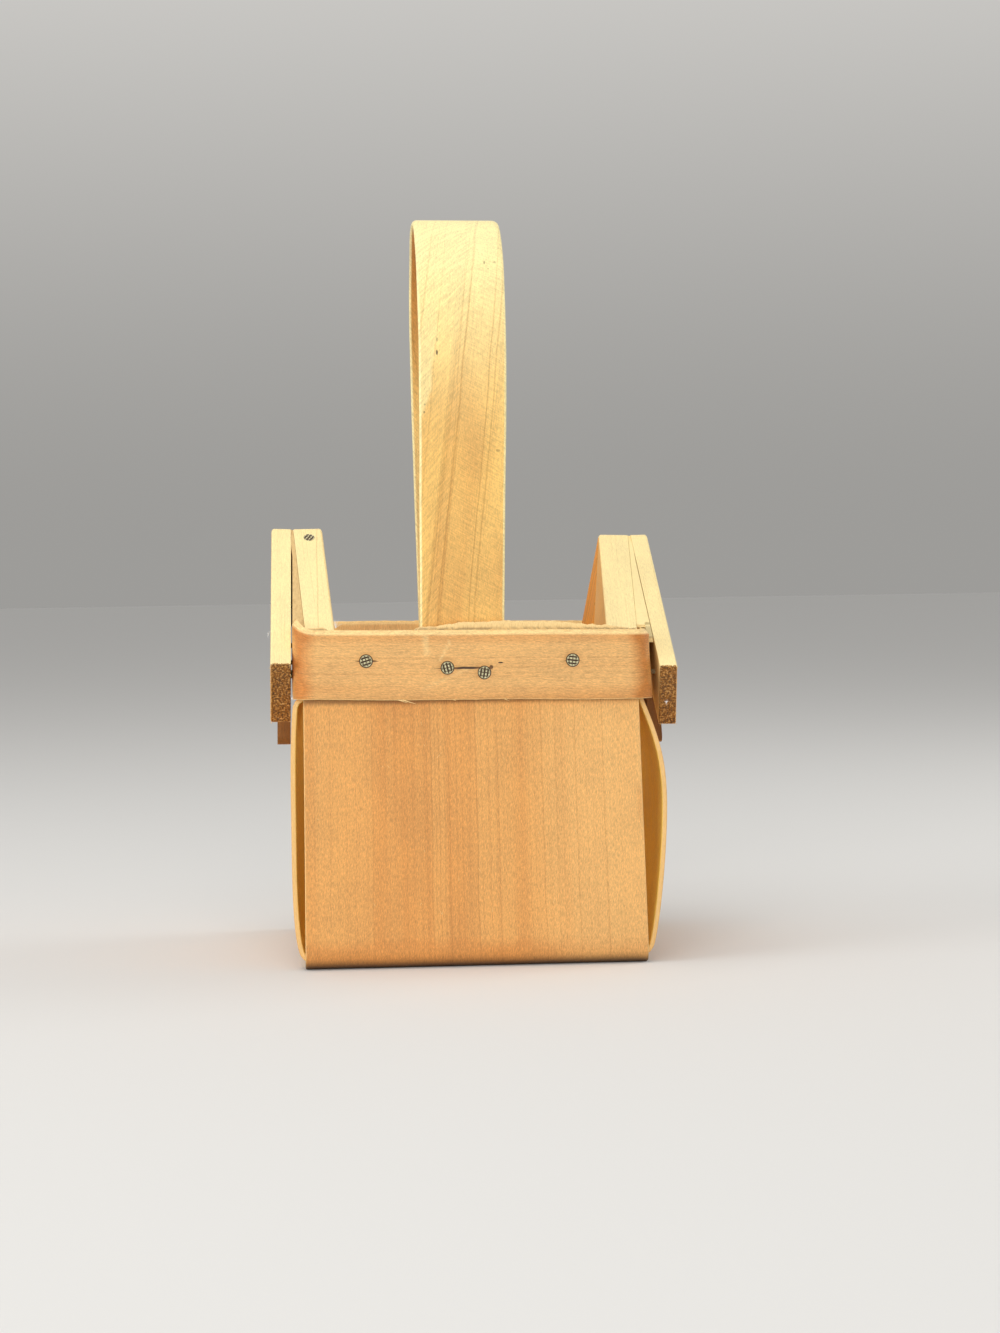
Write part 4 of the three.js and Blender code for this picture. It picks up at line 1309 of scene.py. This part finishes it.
class Slat:
    """The corners and the grain of one slat, in the frame of its side's slats."""

    def __init__(self, side, end, end_y):
        s = settings()
        width, mitre = s.slats.width, s.walls.fit / 2
        cos, sin = math.cos(side.slope), math.sin(side.slope)
        self.peak = Vector((0, end * mitre, side.peak - mitre * math.tan(side.slope)))
        self.along = Vector((0, end * cos, -sin))
        self.across = Vector((0, -end * sin, -cos))
        drop = end_y * math.tan(side.slope) - side.peak
        self.corners = [
            (end * end_y, -drop),
            (self.peak.y, self.peak.z),
            (self.peak.y, self.peak.z - width / cos),
            (end * (end_y - width * sin), -drop - width * cos),
        ]
        self.run = (Vector((0, *self.corners[0])) - self.peak).length

    def grain(self, point):
        """The place in the wood of a point of the slat's frame: across, along and through."""
        place = point - self.peak
        return place.dot(self.across), place.dot(self.along), point.x


def weather(bm, slat, seed):
    """Gives a slat its grain, and its sawn end a fibrous, uneven face."""
    end_face = max(bm.faces, key=lambda f: f.normal.dot(slat.along) * f.calc_area())
    bmesh.ops.subdivide_edges(bm, edges=end_face.edges[:], cuts=34, use_grid_fill=True)
    grained(bm, slat.grain)
    for v in bm.verts:
        across, along, _ = slat.grain(v.co)
        if along > slat.run - 0.1 * MM:
            tuft = rough(across, v.co.x, 0.9 * MM, seed) + 0.8 * rough(across, v.co.x, 0.45 * MM, seed + 1)
            v.co += slat.along * (0.2 * MM * tuft - 0.2 * MM)


class BASKET_OT_gable_slats(bpy.types.Operator):
    """Make the four outer and four inner slats that hold the gables"""
    bl_idname = "basket.gable_slats"
    bl_label = "Gable slats"

    def execute(self, context):
        s = context.scene.basket
        c = s.colours
        _, leg_y = half_depths()
        places = product(SIDES.items(), ENDS.items(), (True, False))
        for count, ((side_name, sign), (end_name, end), outer) in enumerate(places):
            side = Side(side_name)
            kind = "outer" if outer else "inner"
            at = f"{side_name}_{end_name}"
            seed = 41 + 2 * count
            slat = Slat(side, end, s.hoop.depth / 2 if outer else leg_y)
            thickness = side.outer_thickness if outer else s.slats.inner_thickness + side.reach
            near = 0 if outer == (sign > 0) else thickness
            bm = board(slat.corners, thickness, s.slats.ease, near)
            weather(bm, slat, seed)
            # Painted light: the right outer slats' faces towards the veneer are made pale, where the hoop
            # shades them.
            painted_lit = outer and sign > 0
            paint(bm, "pale", lambda v, g: 0.9 * (painted_lit and abs(g.z - near) < MM / 10))
            paint(bm, "deep", lambda v, g: 0)
            grain_at = mounted(bm, side, outer, (0 if outer else sign * side.reach) - near, slat.grain)
            # Painted light: the front inner slats are paler and the back inner slats a brighter orange, to
            # stand for the light that falls on them from the front and the left.
            face = c.slat if outer else c.slat_inner if end > 0 else lerp_colour(c.slat, c.slat_pale, 0.3)
            material = wood(
                f"slat_{kind}_{at}", seed, face, lerp_colour(face, c.slat_line, 0.25), c.slat_line,
                c.slat_pale, c.slat_pale, lines=0.35, flecks=0.2, nap=0.07, pale_edge=PALE_EDGE,
                end_at=slat.run - 0.45 * MM, rings=BACK_SLAT_RINGS if end > 0 and not outer else (),
                seam=LEFT_SEAM if sign < 0 and not outer else None,
            )
            piece = finish(bm, f"{kind}_slat_{at}", material, [f"{kind}_rafter_{at}"])
            if outer:
                drill(piece, nail_heads(f"rafter_nail_{at}").values(), grain_at)
            flatten(piece)
        return {"FINISHED"}


class BASKET_OT_gable_shims(bpy.types.Operator):
    """Make the thin wedges that fill the gables between their inner and outer slats, round the veneer"""
    bl_idname = "basket.gable_shims"
    bl_label = "Gable shims"

    def execute(self, context):
        s = context.scene.basket
        c = s.colours
        rim = rim_frame()
        for (side_name, sign), (end_name, end) in product(SIDES.items(), ENDS.items()):
            side = Side(side_name)
            dark = sign < 0

            def under_slats(along):
                return side.peak - along * math.tan(side.slope) - SHIM_PLAY

            def outer_face(z, play):
                return side.outer_x - z * math.tan(side.outer_lean) - play

            def place(across, along, depth):
                ragged = 0.2 * MM * rough(along, depth, 0.7 * MM, 3) if dark else 0
                top = under_slats(along) + ragged * (across == 0)
                top -= 0.5 * MM * smooth(along, 5 * MM, 0)
                z = lerp(top, 0, across / SHIM_DEPTH)
                near = side.inner_x + side.reach - side.gape + 0.06 * MM
                near += z * math.tan(side.gable_lean + side.stray)
                far = outer_face(z, 0.03 * MM)
                far -= side.slit * smooth(along, 7 * MM, 13 * MM)
                return rim @ Vector((sign * lerp(near, far, depth / MM), end * (along + SHIM_STEP), z))

            def tip_place(across, along, depth):
                z = under_slats(along) - across
                x = lerp(s.hoop.width / 2 + 0.05 * MM, outer_face(z, 0.17 * MM), depth / MM)
                return rim @ Vector((sign * x, end * (along + SHIM_STEP), z))

            stop = (side.peak - 1.2 * MM) / math.tan(side.slope)
            # Painted shade: the left shims are the dark line colour, which stands for the shade in the gap
            # of the left gables; their cut edges are a paler mottled brown.
            cut = lerp_colour(c.slat_line, c.slat_pale, 0.48) if dark else c.slat_pale
            material = wood(
                f"shim_{side_name}_{end_name}", 91 + end + 4 * sign, c.slat_line if dark else c.slat, c.slat,
                c.slat_line, c.slat_pale, cut, lines=0.3, pale_edge=None if dark else PALE_EDGE,
                nap=0.11 if dark else 0.07, specks=[] if dark else [(0, 43.8 * MM, MM, 3 * MM, 0.4)],
            )
            columns = [v * MM for v in (0, 0.5, 1, 2, 4, 8, 16, 30)]
            bm = sheet(columns, steps(0, stop, 0.6 * MM), place, MM, 0.02 * MM)
            finish(bm, f"shim_{side_name}_{end_name}", material, [])
            if not dark:
                columns = [v * MM for v in (0, 0.5, 1.2, 2)]
                bm = sheet(columns, steps(stop - MM, stop + 5 * MM, MM), tip_place, MM, 0.02 * MM)
                finish(bm, f"shim_tip_{side_name}_{end_name}", material, [])
        return {"FINISHED"}


class BASKET_OT_centre_posts(bpy.types.Operator):
    """Make the two thin posts that hang from the peaks over the hoop"""
    bl_idname = "basket.centre_posts"
    bl_label = "Centre posts"

    def execute(self, context):
        s = context.scene.basket
        c, slats = s.colours, s.slats
        thickness = slats.post_thickness
        half, low, r = slats.post_width / 2, -slats.post_drop, slats.post_corner
        for side_name, sign in SIDES.items():
            side = Side(side_name)
            peak = side.peak - (slats.width + s.walls.fit) / math.cos(side.slope)
            shoulder = peak - half * math.tan(side.slope)
            corners = [(0, peak), (-half, shoulder), *arc((r - half, low + r), r, 2, 3, 5)]
            corners += [*arc((half - r, low + r), r, 3, 4, 5), (half, shoulder)]

            def worn(v):
                return v.co.z < low + r / 2 and v.co.x > thickness / 2

            def grain(point):
                return point.y, -point.z, point.x

            bm = board(corners, thickness, 0.4 * MM, worn=worn)
            grained(bm, grain)
            paint(bm, "deep", lambda v, g: 0.15)
            paint(bm, "pale", lambda v, g: 0)
            grain_at = mounted(bm, side, True, 0 if sign > 0 else -thickness, grain)
            # The posts' dark colour is darker wood and also painted shade, for the shadow they hang in under
            # the slats.
            material = wood(f"post_{side_name}", 71 + sign, c.post, lerp_colour(c.post, c.slat_line, 0.5),
                            c.end_grain, c.slat, c.slat, lines=0.5, end_at=-low - 0.4 * MM)
            piece = finish(bm, f"post_{side_name}", material, [f"centre_post_{side_name}"])
            drill(piece, nail_heads(f"post_nail_{side_name}").values(), grain_at)
            flatten(piece)
        return {"FINISHED"}


# The nails

# How much narrower and lower the frame's own head becomes, so that it hides in the finer one
HEAD_SHRINK, HEAD_SINK = 0.9, 0.3 * MM


def nail_head(bm, centre, out, seed):
    """Turns a flat head with a rounded rim, and presses the crossed grooves into its top."""
    n = settings().nails
    groove = bm.verts.layers.float["groove"]
    r = n.head
    rim = [(r * 0.965, -0.03 * MM), (r, -0.14 * MM), (r, -0.6 * MM), (r * 0.9, -0.72 * MM), (0, -0.72 * MM)]
    verts = [bm.verts.new((x, 0, z)) for x, z in [*((r * i / 14, 0) for i in range(14)), *rim]]
    edges = [bm.edges.new(pair) for pair in zip(verts, verts[1:])]
    bmesh.ops.spin(bm, geom=verts + edges, cent=(0, 0, 0), axis=(0, 0, 1), angle=2 * math.pi, steps=44,
                   use_merge=True)
    bmesh.ops.remove_doubles(bm, verts=[v for v in bm.verts if not v.tag], dist=MM / 200)
    fresh = [v for v in bm.verts if not v.tag]
    turn = Matrix.Rotation(math.radians(28 + 23 * seed), 3, "Z")
    for v in fresh:
        if v.co.z > -0.05 * MM:
            flat = turn @ v.co
            lines = [abs(math.cos(math.pi * flat[i] / n.pitch)) for i in (0, 1)]
            ridge = max(smooth(lines[0], 0.55, 0.85), 0.8 * smooth(lines[1], 0.7, 0.92))
            v[groove] = ridge * smooth(v.co.xy.length, r, r * 0.86)
            v.co.z -= n.groove * v[groove]
    lift = Matrix.Translation(centre + out * (0.2 * MM - n.sink))
    turned = out.to_track_quat("Z", "Y").to_matrix().to_4x4()
    bmesh.ops.transform(bm, matrix=lift @ turned, verts=fresh)


class BASKET_OT_nails(bpy.types.Operator):
    """Make every nail, with grooves across its head, round the shank that the frame holds"""
    bl_idname = "basket.nails"
    bl_label = "Nails"

    def execute(self, context):
        material = steel()
        heads = nail_heads("band_nail", "handle_nail", "rafter_nail", "peak_nail", "post_nail")
        for seed, (name, (centre, out)) in enumerate(sorted(heads.items())):
            bm = bmesh.new()
            bm.from_mesh(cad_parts[name].data)
            bm.verts.layers.float.new("groove")
            bmesh.ops.remove_doubles(bm, verts=bm.verts[:], dist=MM / 1000)
            for v in bm.verts:
                v.tag = True
                height = (v.co - centre).dot(out)
                if height > -0.5 * MM:
                    away = v.co - centre - out * height
                    v.co = centre + away * HEAD_SHRINK + out * (height - HEAD_SINK)
            nail_head(bm, centre, out, seed)
            if name.startswith("peak_nail"):
                side = Side("left" if "left" in name else "right")
                moved = side.frame(False) @ side.frame(False, stray=False).inverted()
                raised = Matrix.Translation(out * 0.3 * MM)
                bmesh.ops.transform(bm, matrix=raised @ moved, verts=bm.verts[:])
            finish(bm, name.replace("nail", "nail_steel"), material, [name])
        return {"FINISHED"}


# Loose fibres along the torn and sawn edges

# How many splinters stand on the hoop's top, on each sawn end and on the front wall
HOOP_SPLINTERS, END_SPLINTERS, WALL_SPLINTERS = 150, 46, 34
# Longer ones under the hoop's lower edge: place to the right and length, in mm
LOW_SPLINTERS = [(-22, 5.2), (-23, 3.4), (12, 1.6), (-5, 1.3)]
# Tufts of lint: place in mm from the middle of the hoop's front, hairs, length in mm and lift
LINT = [
    ((-44.6, 4.5, 0.6), 12, 3.4, 1.5),
    ((-59, 1, -22.4), 6, 1.8, 0),
    ((-66.6, 12, -1.5), 5, 1.8, 0.4),
    ((63.7, -0.3, -24), 12, 1.1, 0),
]


def fibre(bm, root, way, size, width, curl, seed):
    """One tapered splinter that leaves its root along a way and curls as it goes."""
    way = way.normalized()
    flat = bmesh.ops.create_grid(bm, x_segments=1, y_segments=4, size=0.5)["verts"]
    faces = dict.fromkeys(f for v in flat for f in v.link_faces)
    made = bmesh.ops.extrude_face_region(bm, geom=list(faces))["geom"]
    raised = [v for v in made if isinstance(v, bmesh.types.BMVert)]
    side = Matrix.Rotation(seed * 2.4, 3, way) @ way.orthogonal().normalized()
    other = way.cross(side)
    for verts, lift in ((flat, 0), (raised, 0.5)):
        for v in verts:
            run = clamp(v.co.y + 0.5)
            taper = width * (1 - 0.85 * run)
            bend = curl * size * run * run
            v.co = root + way * size * run + side * (v.co.x * taper) + other * (lift * taper + bend)


def fibres_piece(name, strands, material):
    bm = bmesh.new()
    for strand in strands:
        fibre(bm, *strand)
    finish(bm, name, material, [])


class BASKET_OT_loose_fibres(bpy.types.Operator):
    """Make the splinters and lint that stand on the torn and sawn edges"""
    bl_idname = "basket.loose_fibres"
    bl_label = "Loose fibres"

    def execute(self, context):
        s = context.scene.basket
        hoop = s.hoop
        draw = random.Random(7)
        rim = rim_frame()
        tilt = rim.to_3x3()
        y = hoop.depth / 2
        between = draw.uniform
        strands = []

        def add(group, root, way, size, width, curl):
            group.append((root, way, size, width * MM, curl, draw.random() * 9))

        for _ in range(HOOP_SPLINTERS):
            x = between(-0.47, 0.47) * hoop.width
            root = rim @ Vector((x, -y + between(0.6, 1.8) * MM, between(-0.4, 0.1) * MM))
            way = tilt @ Vector((between(-1, 1) * 2.5, between(-0.6, 0.4), between(0.1, 1)))
            add(strands, root, way, between(0.4, 1.2) * MM, 0.16, between(0, 0.5))
        for x, run in LOW_SPLINTERS:
            root = rim @ Vector(((x - 1.5) * MM, -y + 0.3 * MM, -hoop.height + 0.15 * MM))
            add(strands, root, tilt @ Vector((1, -0.12, -0.32)), run * MM, 0.4, 0.12)
        for (side_name, sign), end in product(SIDES.items(), ENDS.values()):
            side = Side(side_name)
            slat = Slat(side, end, y)
            place = side.frame(True)
            for _ in range(END_SPLINTERS):
                across = draw.choice((between(0, 1), draw.choice((0.02, 0.98)))) * s.slats.width
                deep = draw.choice((0.03, 0.97, draw.random())) * side.outer_thickness
                local = slat.peak + slat.along * (slat.run - 0.1 * MM) + slat.across * across
                local.x = sign * deep
                way = place.to_3x3() @ (slat.along + Vector([between(-0.9, 0.9) for _ in range(3)]))
                add(strands, place @ local, way, between(0.3, 1.1) * MM, 0.12, between(0, 0.6))
        wall_y = -half_depths()[0] - 0.05 * MM
        for _ in range(WALL_SPLINTERS):
            root = rim @ Vector((between(-0.46, 0.46) * hoop.width, wall_y, between(-100, -26) * MM))
            way = Vector((between(-1, 1), -0.04, between(-1.6, 1.6)))
            strands.append((root, way, between(0.8, 2.6) * MM, 0.13 * MM, between(0, 0.15), 0))
        fibres_piece("splinters", strands, flat_finish("loose_wood", s.colours.cut, 0.7))
        lint = []
        for point, count, size, rise in LINT:
            root = rim @ (Vector(point) * MM - Vector((0, y, 0)))
            for _ in range(count):
                way = Vector((between(-0.7, 1), between(-0.5, 0.3), between(-1, 1) + rise))
                add(lint, root, way, between(0.4, 1) * size * MM, 0.13, between(0.1, 0.7))
        fibres_piece("lint", lint, flat_finish("lint", (0.86, 0.86, 0.84), 0.8))
        return {"FINISHED"}


# The studio

# Half the floor's width, and the part of the way up where the background reaches the floor's colour
FLOOR_REACH, SKY_REACH = 6, 0.3
# Soft lamps: place and size in metres. Their powers are the studio settings of the same names
LAMPS = {
    "key": ((-0.25, -0.15, 1.5), 0.9),
    "fill": ((-0.25, -1.8, 1.0), 1.4),
    "side": ((-1.3, -0.55, 0.5), 0.8),
    "rim": ((1.1, 0.3, 0.6), 0.6),
}
# Where the lamps point, and where the camera stands from the basket's own middle, in metres
LAMP_AIM = Vector((0, 0, 0.12))
CAMERA_STAND = Vector((-0.05878, -1.03528, 0.14003))


class BASKET_OT_studio(bpy.types.Operator):
    """Make the pale floor, the soft lamps and the camera"""
    bl_idname = "basket.studio"
    bl_label = "Studio"

    def execute(self, context):
        scene = context.scene
        s = scene.basket.studio
        colour = scene.basket.colours.floor
        bm = bmesh.new()
        bmesh.ops.create_grid(bm, x_segments=8, y_segments=8, size=FLOOR_REACH)
        floor = meshed(bm, "floor")
        floor.data.materials.append(flat_finish("floor", colour, 0.9))

        scene.world = bpy.data.worlds.new("studio")
        scene.world.use_nodes = True
        world = Nodes(scene.world.node_tree)
        plain = world.tree.nodes["Background"]
        plain.inputs["Color"].default_value = (1, 1, 1, 1)
        plain.inputs["Strength"].default_value = s.ambient
        # Painted shade: the background that the camera sees darkens towards the floor's far end, to match
        # the fading light on the floor.
        ramp = world.tree.nodes.new("ShaderNodeValToRGB")
        ramp.color_ramp.interpolation = "EASE"
        low, high = ramp.color_ramp.elements
        low.color = opaque([v * s.horizon for v in colour])
        high.color = opaque(colour)
        high.position = SKY_REACH
        sky = world.node("TexCoord", {}, "Generated")
        world.feed(ramp.inputs[0], world.node("SeparateXYZ", {0: sky}, "Z"))
        seen = world.node("Background", {"Color": ramp.outputs[0]})
        rays = world.tree.nodes.new("ShaderNodeLightPath").outputs
        shown = rays["Is Camera Ray"]
        for kind in ("Is Glossy Ray", "Is Transmission Ray"):
            shown = world.node("Math", {0: shown, 1: rays[kind]}, operation="MAXIMUM")
        mixed = world.node("MixShader", {0: shown, 1: plain.outputs[0], 2: seen})
        world.feed(world.tree.nodes["World Output"].inputs["Surface"], mixed)

        for name, (place, size) in LAMPS.items():
            lamp = bpy.data.lights.new(name, "AREA")
            lamp.size = size
            lamp.energy = getattr(s, name)
            holder = new_object(name, lamp)
            holder.location = place
            holder.rotation_euler = (LAMP_AIM - Vector(place)).to_track_quat("-Z", "Y").to_euler()

        lens = bpy.data.cameras.new("camera")
        lens.lens = s.lens
        lens.clip_start = 0.01
        camera = new_object("camera", lens)
        camera.matrix_world = (
            Matrix.Translation(body_offset() + CAMERA_STAND)
            @ Matrix.Rotation(s.yaw, 4, "Z")
            @ Matrix.Rotation(math.pi / 2 + s.pitch, 4, "X")
            @ Matrix.Rotation(s.roll, 4, "Z")
        )
        scene.camera = camera
        scene.view_settings.view_transform = "Standard"
        return {"FINISHED"}


# The panel, and the run as a whole

OPERATORS = (
    BASKET_OT_studio,
    BASKET_OT_front_back_strip,
    BASKET_OT_side_strip,
    BASKET_OT_rim_hoop,
    BASKET_OT_handle,
    BASKET_OT_gable_slats,
    BASKET_OT_gable_shims,
    BASKET_OT_centre_posts,
    BASKET_OT_nails,
    BASKET_OT_loose_fibres,
)


class BASKET_PT_panel(bpy.types.Panel):
    """Lists the basket's pieces and settings in the sidebar"""
    bl_idname = "BASKET_PT_panel"
    bl_label = "Wooden basket"
    bl_space_type = "VIEW_3D"
    bl_region_type = "UI"
    bl_category = "Basket"

    def draw(self, context):
        for operator in OPERATORS:
            self.layout.operator(operator.bl_idname)
        for group in BasketSettings.__annotations__:
            box = self.layout.box()
            box.label(text=group.capitalize())
            values = getattr(context.scene.basket, group)
            for name in type(values).__annotations__:
                box.prop(values, name)


CLASSES = (
    WallSizes,
    HoopSizes,
    HandleSizes,
    SlatSizes,
    BulgeSizes,
    NailSizes,
    WoodColours,
    StudioSettings,
    BasketSettings,
    *OPERATORS,
    BASKET_PT_panel,
)


def register():
    for cls in CLASSES:
        bpy.utils.register_class(cls)
    bpy.types.Scene.basket = PointerProperty(type=BasketSettings)


def unregister():
    del bpy.types.Scene.basket
    for cls in reversed(CLASSES):
        bpy.utils.unregister_class(cls)


def main():
    register()
    bpy.ops.basket.studio()
    bpy.ops.basket.front_back_strip()
    bpy.ops.basket.side_strip()
    bpy.ops.basket.rim_hoop()
    bpy.ops.basket.handle()
    bpy.ops.basket.gable_slats()
    bpy.ops.basket.gable_shims()
    bpy.ops.basket.centre_posts()
    bpy.ops.basket.nails()
    bpy.ops.basket.loose_fibres()


if __name__ == "__main__":
    main()
